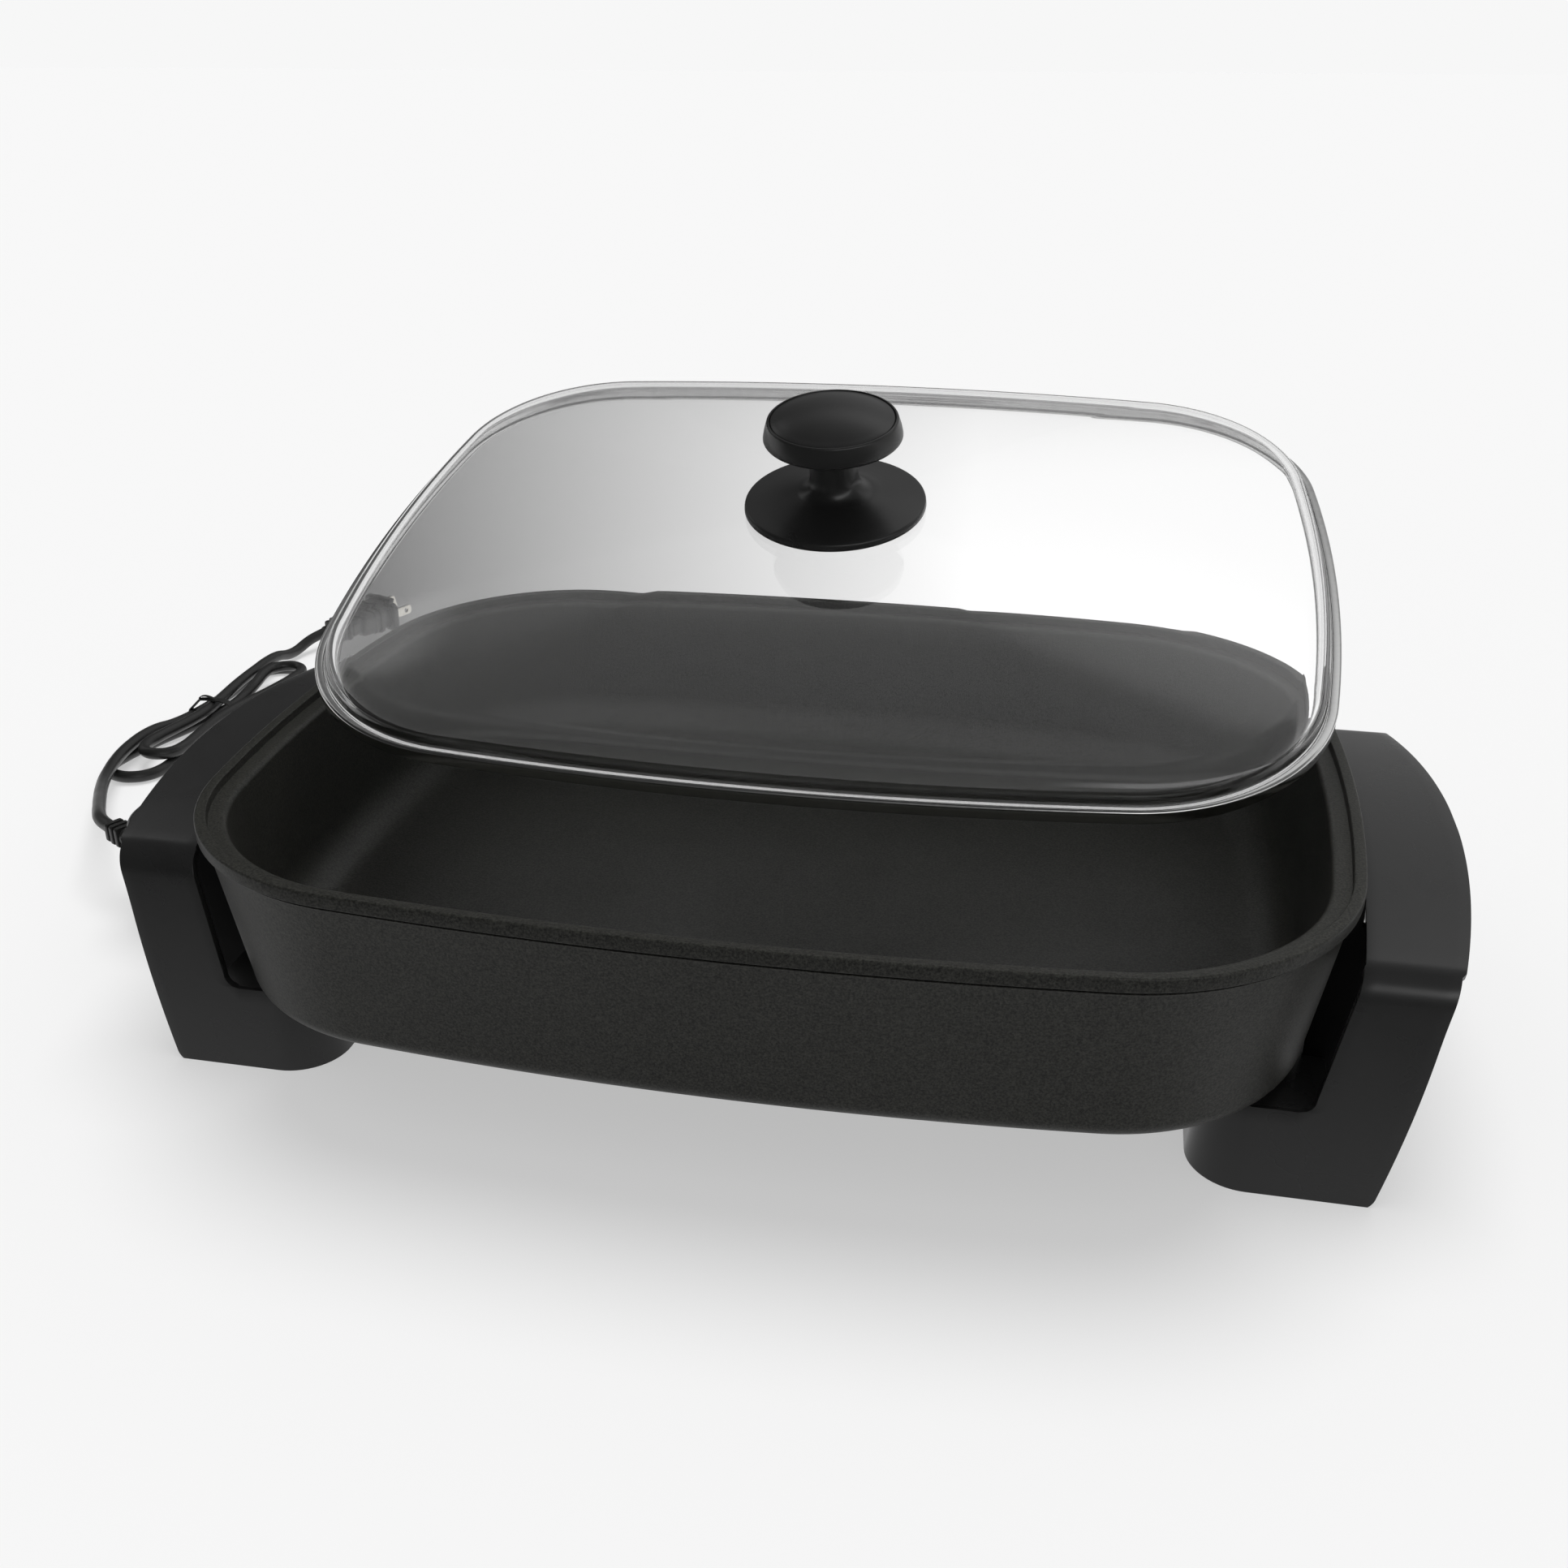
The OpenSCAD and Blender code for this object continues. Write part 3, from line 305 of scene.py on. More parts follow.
# The lead's middle line from the strain relief to the plug, in millimetres from the pan's centre.
LEAD_ROUTE = (
    (-304.4, 3.8, 30), (-314.4, 11.2, 29.5), (-322.2, 20.9, 27.5), (-329.1, 31, 24.8), (-336, 41.1, 22),
    (-342.8, 51.3, 19.2), (-349.5, 61.6, 16.6), (-355.9, 72.1, 14.2), (-362, 82.9, 12.2),
    (-367.3, 94.2, 10.7), (-371.7, 105.9, 10), (-374.8, 118.1, 9.8), (-376.5, 130.5, 9.7),
    (-377.2, 143.1, 9.2), (-377.4, 155.5, 7.5), (-376.8, 167.7, 4.9), (-375.5, 180.1, 3.5),
    (-373.9, 192.6, 3.2), (-372.5, 205, 3.2), (-371.3, 217.5, 3.2), (-371.1, 230.1, 3.2),
    (-371.2, 242.6, 3.2), (-370.2, 250.3, 3.2), (-366.6, 257, 3.2), (-359.8, 260.8, 3.2),
    (-352.2, 260.5, 3.2), (-345.7, 256.3, 3.2), (-342.6, 249.3, 3.2), (-342.2, 236.7, 3.2),
    (-342.8, 224.2, 3.2), (-344.2, 211.7, 3.2), (-345.9, 199.3, 3.2), (-347.3, 186.8, 3.2),
    (-348.4, 174.3, 3.2), (-349.5, 161.8, 3.2), (-350.6, 149.3, 3.2), (-351.6, 136.8, 3.2),
    (-352.1, 124.3, 3.2), (-352.6, 116.6, 3.2), (-355.8, 109.6, 3.2), (-362.3, 105.4, 3.2),
    (-370, 105.2, 3.2), (-376.7, 109.1, 3.2), (-380.3, 115.8, 3.2), (-379.9, 128.4, 3.2),
    (-377.2, 140.6, 3.2), (-373.8, 152.7, 3.2), (-369.7, 164.6, 3.2), (-366, 176.6, 3.2),
    (-362.9, 188.7, 3.2), (-360.5, 201, 3.4), (-359, 213.4, 4.9), (-358, 225.6, 7.9), (-358.5, 238, 9.6),
    (-357.2, 245.6, 9.6), (-351.5, 250.5, 9.6), (-344, 250, 9.6), (-339.1, 244.3, 9.6), (-338.8, 231.7, 9.6),
    (-340.6, 219.3, 9.5), (-343.2, 207, 9.4), (-346.4, 194.9, 9.3), (-348.8, 182.6, 9.3), (-350, 170.1, 9.3),
    (-349.9, 157.5, 9.3), (-349.1, 145, 9.3), (-348.9, 132.5, 9.3), (-351.2, 125.2, 9.3),
    (-357.7, 121.6, 9.3), (-365.1, 123.5, 9.3), (-368.8, 130.1, 9.3), (-368.4, 142.7, 9.3),
    (-365.9, 155, 9.3), (-363.5, 167.3, 9.3), (-362.5, 179.8, 9.3), (-363.1, 192.3, 9.4),
    (-364.3, 204.8, 9.4), (-365.5, 217.3, 9.4), (-366.2, 229.9, 9.4), (-366.5, 242.4, 9.4),
    (-366.4, 255, 9.5), (-366.2, 267.4, 8.3), (-365.7, 279.6, 5.1), (-365, 288, 4.5), (-361.5, 299.7, 7.4),
    (-356.5, 310.4, 9.2),
)


def make_lead():
    """A tube along one smooth run through every point of the route, and that run's own points."""
    curve = bpy.data.curves.new("power_lead", "CURVE")
    curve.dimensions = "3D"
    curve.resolution_u = LEAD_STEPS
    curve.bevel_depth = CORD_RADIUS * MM
    curve.bevel_resolution = 5
    curve.use_fill_caps = True
    spline = curve.splines.new("BEZIER")
    spline.bezier_points.add(len(LEAD_ROUTE) - 1)
    for knot, place in zip(spline.bezier_points, LEAD_ROUTE):
        knot.co = PAN @ millimetres(*place)
        knot.handle_left_type = knot.handle_right_type = "AUTO"
    lead = bpy.data.objects.new("power_lead", curve)
    bpy.context.scene.collection.objects.link(lead)
    bpy.context.view_layer.update()
    run = []
    for here, there in zip(spline.bezier_points, spline.bezier_points[1:]):
        bend = interpolate_bezier(here.co, here.handle_right, there.handle_left, there.co, LEAD_STEPS + 1)
        run += bend[:-1]
    run.append(spline.bezier_points[-1].co.copy())
    select_only(lead)
    bpy.ops.object.convert(target="MESH")
    lead = rename(bpy.context.object, "power_lead")
    bpy.ops.object.mode_set(mode="EDIT")
    weld()
    bpy.ops.mesh.normals_make_consistent(inside=False)
    settle(lead, Matrix.Identity(4), "control", "cord_rubber", "cord", "cord_hank", "cord_tail")
    return lead, [tuple(point) for point in run]


power_lead, lead_run = make_lead()

# ---------------------------------------------------------------- rim outline
# The rim's plan is one slow arc for each side and each end, joined by corner arcs that touch both.
HALF_LENGTH = 203
HALF_WIDTH = 158.5
CORNER_RADIUS = 84.5
SIDE_RADIUS = 1260
END_RADIUS = 664
END_CENTRE = HALF_LENGTH - END_RADIUS
SIDE_CENTRE = HALF_WIDTH - SIDE_RADIUS


def corner_centre():
    """Where a corner arc's centre lies, so that the arc touches the side's arc and the end's arc."""
    side_gap = SIDE_RADIUS - CORNER_RADIUS
    end_gap = END_RADIUS - CORNER_RADIUS
    apart = math.hypot(END_CENTRE, SIDE_CENTRE)
    along = (side_gap**2 - end_gap**2 + apart**2) / (2 * apart)
    off = math.sqrt(side_gap**2 - along**2)
    line = (END_CENTRE / apart, -SIDE_CENTRE / apart)
    return along * line[0] + off * line[1], SIDE_CENTRE + along * line[1] - off * line[0]


CORNER_X, CORNER_Y = corner_centre()
SIDE_ANGLE = math.atan2(CORNER_Y - SIDE_CENTRE, CORNER_X)
END_ANGLE = math.atan2(CORNER_Y, CORNER_X - END_CENTRE)
END_STEPS, CORNER_STEPS, SIDE_STEPS = 10, 30, 30


def sweep_round_rim():
    """Spins the selected profile, which stands at the right end's middle, once round the rim's outline."""
    corner_turn = SIDE_ANGLE - END_ANGLE
    side_turn = math.pi - 2 * SIDE_ANGLE
    turns = (
        (END_CENTRE, 0, END_ANGLE, END_STEPS),
        (CORNER_X, CORNER_Y, corner_turn, CORNER_STEPS),
        (0, SIDE_CENTRE, side_turn, SIDE_STEPS),
        (-CORNER_X, CORNER_Y, corner_turn, CORNER_STEPS),
        (-END_CENTRE, 0, 2 * END_ANGLE, 2 * END_STEPS),
        (-CORNER_X, -CORNER_Y, corner_turn, CORNER_STEPS),
        (0, -SIDE_CENTRE, side_turn, SIDE_STEPS),
        (CORNER_X, -CORNER_Y, corner_turn, CORNER_STEPS),
        (END_CENTRE, 0, END_ANGLE, END_STEPS),
    )
    for x, y, angle, steps in turns:
        spin(-angle, steps, x, y)
    weld()


def rim_profile(points):
    """A profile given as inset from the rim's edge and height, stood up at the right end's middle."""
    return [(HALF_LENGTH - inset, 0, height) for inset, height in points]


def close_loop_flat(piece, height, rim_width):
    """Fills the open loop at one height with a flat face and a narrow ring of faces round it."""
    pick(piece, "edges", lambda edge, middle: edge.is_boundary and abs(middle.z - height) < 0.05)
    bpy.ops.mesh.edge_face_add()
    bpy.ops.mesh.inset(thickness=rim_width * MM)


# ---------------------------------------------------------------- pan
RIM_HEIGHT = 102.3
BAND_BOTTOM = RIM_HEIGHT - 4.9
GROOVE_INSET = 4.4
PAN_CLEARANCE = 36
FLOOR_HEIGHT = 41
LEDGE_HEIGHT = 99.1
LEDGE_ROUND = 2.4
BASE_INSET, BASE_ROUND = 19.2, 8
FLOOR_INSET, FLOOR_FILLET = 31.4, 16
RING_WIDTH = 4


def make_pan():
    """Cast pan: rounded base, drafted wall, a groove under its rim band, stepped ledge, filleted floor."""
    outside = (
        arc_points((BASE_INSET, PAN_CLEARANCE + BASE_ROUND), BASE_ROUND, 270, 180, 10)
        + [(2.9, BAND_BOTTOM - 3), (2.45, BAND_BOTTOM - 2), (2.65, BAND_BOTTOM - 1.8),
           (GROOVE_INSET, BAND_BOTTOM - 1.6), (GROOVE_INSET, BAND_BOTTOM - 0.3),
           (GROOVE_INSET - 0.3, BAND_BOTTOM), (0.5, BAND_BOTTOM)]
        + arc_points((0.5, BAND_BOTTOM + 0.5), 0.5, 270, 180, 4)[1:]
        + arc_points((0.8, RIM_HEIGHT - 0.8), 0.8, 180, 90, 5)
        + arc_points((3.5, RIM_HEIGHT - 0.5), 0.5, 90, 0, 4)
    )
    inside = (
        [(4.2, LEDGE_HEIGHT + 0.2), (5, LEDGE_HEIGHT)]
        + arc_points((8.2, LEDGE_HEIGHT - LEDGE_ROUND), LEDGE_ROUND, 90, 8, 7)
        + arc_points((FLOOR_INSET, FLOOR_HEIGHT + FLOOR_FILLET), FLOOR_FILLET, 180, 270, 12)
    )
    pan = draw_line("pan_casting", rim_profile(outside + inside))
    sweep_round_rim()
    close_loop_flat(pan, PAN_CLEARANCE, RING_WIDTH)
    close_loop_flat(pan, FLOOR_HEIGHT, RING_WIDTH)
    close_up()
    settle(pan, PAN, "base", "pan_coat", "pan", smooth=28)


make_pan()

# ---------------------------------------------------------------- stands
HANDLE_REACH = 239
HANDLE_BOW = 13.5
CORNER_HEIGHT = 81.7
HANDLE_CROWN = 8
HANDLE_HALF = 101.8
FOOT_HALF = 109.4
FOLD_RADIUS = 12
STAND_WALL = 3
FOOT_REACH = 210.8
LEG_BULGE = 2
LOW_BAND = 31.8
THROAT_RADIUS = 5
LEG_INNER_LOW = 189.5
LEG_INNER_HIGH = 198
FOOT_ROUND = 19.4
STAND_INNER = 152
FOOT_X = STAND_INNER + FOOT_ROUND
FOOT_Y = FOOT_HALF - FOOT_ROUND
THROAT = LEG_INNER_LOW - THROAT_RADIUS
LEAN = math.atan((FOOT_HALF - HANDLE_HALF) / CORNER_HEIGHT)
CROWN_RADIUS = (HANDLE_HALF**2 + HANDLE_CROWN**2) / (2 * HANDLE_CROWN)
CROWN_Z = CORNER_HEIGHT + HANDLE_CROWN - CROWN_RADIUS
SHOULDER_FLARE = 1.6
FLARE_START = 58
PLAN_SAG = HANDLE_BOW - SHOULDER_FLARE + 0.2
PLAN_RADIUS = (HANDLE_HALF**2 + PLAN_SAG**2) / (2 * PLAN_SAG)
FLANGE_INNER = 204
FLANGE_SAG = FLANGE_INNER - LEG_INNER_HIGH - 0.5
INNER_HALF = HANDLE_HALF - 5
INNER_PLAN_RADIUS = (INNER_HALF**2 + FLANGE_SAG**2) / (2 * FLANGE_SAG)
TOE_DROP, TOE_HEIGHT = 1.2, 3
ACROSS = 7
NOTCH_HALF = 38
NOTCH_HEIGHT = 20
LOW_ROWS = (0, 0.5, 1.2, 2, TOE_HEIGHT, 8, 14, NOTCH_HEIGHT, 26, LOW_BAND)
PLATE_AT = (175.5, 78, 30.3)
PLATE_SIZE = (40, 54, 3)
RIB_Y = 72
RIB_WALL = 2.6
RIB_GAP = 0.5
RIB_TOP = 93


def fold_arc():
    """Centre and end angle of the fold between leg and handle, an arc inside both."""
    start_y = HANDLE_HALF - FOLD_RADIUS * math.cos(LEAN)
    start_z = CORNER_HEIGHT - FOLD_RADIUS * math.sin(LEAN) - CROWN_Z
    along = start_y * math.sin(LEAN) - start_z * math.cos(LEAN)
    rest = math.hypot(start_y, start_z) ** 2 - (CROWN_RADIUS - FOLD_RADIUS) ** 2
    slide = -along - math.sqrt(along**2 - rest)
    y = start_y + slide * math.sin(LEAN)
    z = start_z + CROWN_Z - slide * math.cos(LEAN)
    return y, z, math.atan2(z - CROWN_Z, y)


def leg_side(z):
    return HANDLE_HALF + (CORNER_HEIGHT - z) * math.tan(LEAN)


def outer_reach(y, z):
    """How far out the stand reaches: the leg's bowed edge below, the handle's bowed edge above."""
    up = z / CORNER_HEIGHT
    corner_reach = HANDLE_REACH - HANDLE_BOW
    flare = SHOULDER_FLARE * max(0, (z - FLARE_START) / (CORNER_HEIGHT - FLARE_START)) ** 2
    if up <= 1:
        leg = FOOT_REACH + (corner_reach - FOOT_REACH) * up + 4 * LEG_BULGE * up * (1 - up) + flare
    else:
        leg = HANDLE_REACH - 0.1
    handle = HANDLE_REACH - PLAN_RADIUS + math.sqrt(PLAN_RADIUS**2 - y * y)
    toe = TOE_DROP * (1 - min(1, z / TOE_HEIGHT)) ** 2
    return min(leg, handle) - toe


def inner_reach(y, z):
    """Where the stand's inner edge runs: straight up the leg, then round the handle's inside."""
    low = LOW_BAND + THROAT_RADIUS
    if z < low + 0.01:
        left = THROAT_RADIUS - max(0.0, z - LOW_BAND)
        return THROAT + math.sqrt(max(0.0, THROAT_RADIUS**2 - left**2))
    share = min(1, (z - low) / (CORNER_HEIGHT - 2 - low))
    leg = LEG_INNER_LOW + (LEG_INNER_HIGH - LEG_INNER_LOW) * share
    if abs(y) >= INNER_HALF:
        return leg
    handle = FLANGE_INNER - INNER_PLAN_RADIUS + math.sqrt(INNER_PLAN_RADIUS**2 - y * y)
    return max(leg, handle)


def pick_row(stand, height, beyond=-math.inf):
    pick(stand, "verts", lambda vertex, middle: abs(middle.z - height) < 0.01 and middle.x > beyond)


def raise_low_band():
    """The foot's low band: its inner columns stand straight, the ones past the throat follow the toe."""
    out = outer_reach(leg_side(0), 0)
    columns = [FOOT_X, FOOT_X + 6, THROAT]
    columns += [THROAT + (out - THROAT) * i / ACROSS for i in range(1, ACROSS + 1)]
    stand = draw_line("stand_moulding", [(x, leg_side(0), 0) for x in columns])
    for low, high in zip(LOW_ROWS, LOW_ROWS[1:]):
        extrude(0, leg_side(high) - leg_side(low), high - low)
        pick_row(stand, high, THROAT + 0.01)
        stretch = (outer_reach(0, high) - THROAT) / (outer_reach(0, low) - THROAT)
        bpy.ops.transform.resize(value=(stretch, 1, 1), center_override=millimetres(THROAT, 0, high))
        pick_row(stand, high)
    return stand


def band_stations():
    """The band's rows from the throat up the leg, round the fold and over half of the handle."""
    fold_y, fold_z, fold_end = fold_arc()
    low = LOW_BAND + THROAT_RADIUS
    rise = fold_z + FOLD_RADIUS * math.sin(LEAN) - low
    rows = [LOW_BAND + THROAT_RADIUS * (1 - math.cos(t * DEG)) for t in (0, 25, 45, 62, 76, 90)]
    rows += [low + rise * i / 8 for i in range(1, 9)]
    outline = [(leg_side(z), z) for z in rows]
    outline += arc_points((fold_y, fold_z), FOLD_RADIUS, LEAN / DEG, fold_end / DEG, 10)[1:]
    outline += arc_points((0, CROWN_Z), CROWN_RADIUS, fold_end / DEG, 90, 22)[1:]
    return [(y, z, inner_reach(y, z), outer_reach(y, z)) for y, z in outline]


def make_stand():
    """One moulded end: two legs and a bowed handle in one bent band, closed round low down under the pan."""
    stand = raise_low_band()
    pick_row(stand, LOW_BAND, THROAT - 0.01)
    stations = band_stations()
    for (y0, z0, in0, out0), (y1, z1, in1, out1) in zip(stations, stations[1:]):
        extrude(in1 - in0, y1 - y0, z1 - z0)
        stretch = (out1 - in1) / (out0 - in0)
        bpy.ops.transform.resize(value=(stretch, 1, 1), center_override=millimetres(in1, y1, z1))
    # The low band's quarter turn and its run across under the pan, lower where the control plugs in.
    pick(stand, "verts", lambda vertex, middle: abs(middle.x - FOOT_X) < 0.01)
    spin(-math.pi / 2, 14, FOOT_X, FOOT_Y)
    extrude(0, NOTCH_HALF - FOOT_Y, 0)
    pick(stand, "verts", lambda vertex, middle: abs(middle.y - NOTCH_HALF) < 0.01 and middle.x < FOOT_X
         and middle.z < NOTCH_HEIGHT + 0.1)
    extrude(0, -NOTCH_HALF, 0)
    weld()
    bpy.ops.mesh.normals_make_consistent(inside=False)
    modify(stand, "MIRROR", use_axis=(False, True, False), use_mirror_merge=True, merge_threshold=0.01 * MM)
    open_up(stand)
    close_up()
    # The drawn skin is the outer side, so the wall goes inwards.
    if sum(face.normal.z * face.area for face in stand.data.polygons if face.center.z > 80 * MM) < 0:
        stand.data.flip_normals()
    modify(stand, "SOLIDIFY", thickness=STAND_WALL * MM, offset=-1, use_even_offset=True)
    cut_away(stand, 0.05, keep_above=True)
    round_edges(stand, 0.7, 3, 50)
    return stand


def add_foot_plates(stand):
    """The plates inside the feet that take the screws, joined to the moulding."""
    plates = []
    for side in (1, -1):
        x, y, z = PLATE_AT
        nothing_selected()
        bpy.ops.mesh.primitive_cube_add(size=1, location=millimetres(x, side * y, z),
                                        scale=millimetres(*PLATE_SIZE))
        bpy.ops.object.transform_apply(location=True, scale=True)
        plates.append(bpy.context.object)
        round_edges(plates[-1], 0.8, 2)
    return join_parts(stand, *plates)


def make_leg_ribs():
    """Upright ribs behind the legs that carry the handle; their inner edges follow the pan's drafted wall."""
    pan_edge = END_CENTRE + math.sqrt(END_RADIUS**2 - RIB_Y**2) + RIB_GAP
    under_handle = CROWN_Z + math.sqrt(CROWN_RADIUS**2 - RIB_Y**2) - STAND_WALL + 0.8
    inner = [(195.6, 4), (194, 14), (pan_edge - 11.2, 32), (pan_edge - 11.2, 44), (pan_edge - 3.1, RIB_TOP),
             (pan_edge + 0.4, RIB_TOP), (pan_edge + 0.9, under_handle)]
    outer = [(outer_reach(RIB_Y, z) - 1, z) for z in (4, 14, 32, 44, 66)]
    outer.append((outer_reach(RIB_Y, 84) - 2, under_handle))
    ribs = []
    for side in (1, -1):
        near = side * RIB_Y - RIB_WALL / 2
        rib = draw_line("rib", [(x, near, z) for x, z in inner + outer[::-1] + inner[:1]])
        weld()
        bpy.ops.mesh.select_all(action="SELECT")
        bpy.ops.mesh.edge_face_add()
        extrude(0, RIB_WALL, 0)
        close_up()
        round_edges(rib, 0.6, 2, 40)
        ribs.append(rib)
    return join_parts(*ribs)


right_stand = rename(add_foot_plates(make_stand()), "right_handle_stand")
left_stand = mirrored_twin(right_stand, "left_handle_stand")
right_ribs = rename(make_leg_ribs(), "right_leg_ribs")
left_ribs = mirrored_twin(right_ribs, "left_leg_ribs")
settle(right_stand, PAN, "base", "stand_plastic", "right_stand")
settle(left_stand, PAN, "base", "stand_plastic", "left_stand")
# The ribs wear the darkened phenolic whose colour paints the shade of the hollow behind the legs.
for ribs in (right_ribs, left_ribs):
    settle(ribs, PAN, "base", "stand_plastic", finish="rib_plastic_painted_shade")

# ---------------------------------------------------------------- lid
LID_INSET = 6.6
BAND_HEIGHT = 5.2
BAND_WALL = 0.6
GLASS_THICKNESS = 4
GLASS_TOP = BAND_WALL + GLASS_THICKNESS
LIP_WIDTH = 3
LEDGE_UNDER_GLASS = 7.4
SHOULDER_START = LID_INSET + LIP_WIDTH + 1
SHOULDER_WIDTH = 10
SHOULDER_RISE = 10.5
SHOULDER_TURN = 80
SHOULDER_FOOT = 1.2
GLASS_CROWN = 15
DOME_RINGS = (0.96, 0.92, 0.87, 0.82, 0.76, 0.7, 0.63, 0.56, 0.48, 0.4, 0.32, 0.24, 0.16, 0.08)
SCREW_HOLE = 3.1
PAD_SCALE = 0.2


def make_band():
    """Rolled steel band: an upright skirt, a narrow lip over the glass and a wider ledge under it."""
    out = LID_INSET
    ledge = out + LEDGE_UNDER_GLASS
    lip = out + LIP_WIDTH
    lip_under = BAND_HEIGHT - BAND_WALL
    profile = (
        [(ledge, 0.5), (ledge - 0.1, 0.1), (ledge - 0.5, 0)]
        + [(out + 5.6, 0), (out + 5, 0.25), (out + 4.4, 0)]
        + arc_points((out + 0.8, 0.8), 0.8, 270, 180, 4)
        + arc_points((out + 0.9, BAND_HEIGHT - 0.9), 0.9, 180, 90, 5)
        + [(lip - 0.4, BAND_HEIGHT), (lip - 0.1, BAND_HEIGHT - 0.1), (lip, BAND_HEIGHT - 0.3)]
        + [(lip, lip_under), (out + 1.2, lip_under), (out + 1.2, BAND_WALL), (out + 4.2, BAND_WALL)]
        + [(out + 5, 0.85), (out + 5.8, BAND_WALL), (ledge - 0.2, BAND_WALL), (ledge, 0.5)]
    )
    band = draw_line("lid_rim_band", rim_profile(profile))
    sweep_round_rim()
    close_up()
    settle(band, LID, "lid", "band_steel", "lid_band")


def shoulder_points(wall):
    """The shoulder's profile from its foot to the dome, a given depth inside the outer skin."""
    foot = (SHOULDER_START - SHOULDER_FOOT, GLASS_TOP + SHOULDER_FOOT)
    points = arc_points(foot, SHOULDER_FOOT + wall, -90, -25, 5)
    start = SHOULDER_START + wall
    across = (SHOULDER_WIDTH - wall) / (1 - math.cos(SHOULDER_TURN * DEG))
    rise = (SHOULDER_RISE - wall) / math.sin(SHOULDER_TURN * DEG)
    for i in range(1, 13):
        angle = SHOULDER_TURN * i / 12 * DEG
        points.append((start + across * (1 - math.cos(angle)), GLASS_TOP + rise * math.sin(angle)))
    return points


def make_glass():
    """Tempered glass: a flat edge in the band, a steep round shoulder, a shallow dome and a screw hole."""
    edge = LID_INSET + 1.25
    skin = shoulder_points(GLASS_THICKNESS)[::-1] + [(edge, BAND_WALL), (edge, GLASS_TOP)] + shoulder_points(0)
    glass = draw_line("lid_glass_pane", rim_profile(skin))
    sweep_round_rim()
    for base in (BAND_WALL, GLASS_TOP):
        start = base + SHOULDER_RISE
        pick(glass, "edges", lambda part, middle: part.is_boundary and abs(middle.z - start) < 0.3)
        before = 1
        for scale in DOME_RINGS:
            extrude(0, 0, GLASS_CROWN * (before**2 - scale**2))
            bpy.ops.transform.resize(value=(scale / before, scale / before, 1), center_override=(0, 0, 0))
            before = scale
    # The innermost loops are drawn round into the screw hole and joined down its wall.
    pick(glass, "edges", lambda part, middle: part.is_boundary)
    extrude(0, 0, 0)
    mesh = bmesh.from_edit_mesh(glass.data)
    for vertex in mesh.verts:
        if vertex.select:
            flat = Vector((vertex.co.x, vertex.co.y, 0)).normalized() * SCREW_HOLE * MM
            vertex.co = Vector((flat.x, flat.y, vertex.co.z))
    bmesh.update_edit_mesh(glass.data)
    bpy.ops.mesh.bridge_edge_loops()
    close_up()
    settle(glass, LID, "lid", "lid_glass", "lid_glass")


make_band()
make_glass()

# ---------------------------------------------------------------- knob
KNOB_BASE_Z = GLASS_TOP + SHOULDER_RISE + GLASS_CROWN * (1 - PAD_SCALE**2)
KNOB = LID @ shift(0, 0, KNOB_BASE_Z)
BASE_RADIUS = 36.25
STEM_RADIUS = 9.75
CAP_RADIUS = 27.25
KNOB_HEIGHT = 42.5
CAP_LOW = KNOB_HEIGHT - 12.7
CAP_TOP = KNOB_HEIGHT - 4.6
INSERT_RADIUS = CAP_RADIUS - 2.8


def make_knob_foot():
    """Foot of the knob: a thin-edged, nearly flat dish that turns up into a round stem."""
    profile = (
        [(0, 0.8), (32.2, 0.8), (32.6, 0), (BASE_RADIUS - 0.7, 0)]
        + arc_points((BASE_RADIUS - 0.7, 0.7), 0.7, -90, 0, 4)[1:]
        + [(BASE_RADIUS - 0.1, 1.9)]
        + arc_points((BASE_RADIUS - 1.1, 2.1), 0.9, 0, 90, 4)
        + [(BASE_RADIUS - 4, 3.35), (BASE_RADIUS - 8, 3.95), (BASE_RADIUS - 12, 4.6)]
        + [(BASE_RADIUS - 15, 5.15), (BASE_RADIUS - 17.5, 5.7)]
        + arc_points((STEM_RADIUS + 7.4, 13.8), 7.4, 265, 185, 12)
        + [(STEM_RADIUS - 0.05, 14.2), (STEM_RADIUS - 0.1, 18), (STEM_RADIUS - 0.1, 24), (STEM_RADIUS, 28),
           (STEM_RADIUS + 0.3, CAP_LOW + 2.4), (0, CAP_LOW + 2.4)]
    )
    settle(turn_profile("knob_foot", profile), KNOB, "lid", "knob_plastic", "knob_base")


def make_knob_head():
    """Head of the knob: a shallow cup with slanted sides, its top edge rolled in to the inlaid disc."""
    profile = (
        [(0, CAP_LOW + 2.6), (STEM_RADIUS + 2, CAP_LOW + 2.6), (STEM_RADIUS + 2, CAP_LOW + 1),
         (STEM_RADIUS + 4, CAP_LOW + 0.4), (CAP_RADIUS - 3, CAP_LOW + 0.4), (CAP_RADIUS - 1.6, CAP_LOW)]
        + arc_points((CAP_RADIUS - 1.1, CAP_LOW + 1.1), 1.1, -80, 8, 6)
        + [(CAP_RADIUS - 0.6, CAP_LOW + 4)]
        + arc_points((CAP_RADIUS - 2.5, CAP_TOP - 0.9), 0.9, 15, 90, 6)
        + [(INSERT_RADIUS + 0.2, CAP_TOP), (INSERT_RADIUS, CAP_TOP - 0.3), (INSERT_RADIUS, CAP_TOP - 1.4),
           (0, CAP_TOP - 1.4)]
    )
    settle(turn_profile("knob_head", profile), KNOB, "lid", "knob_plastic", "knob_cap")


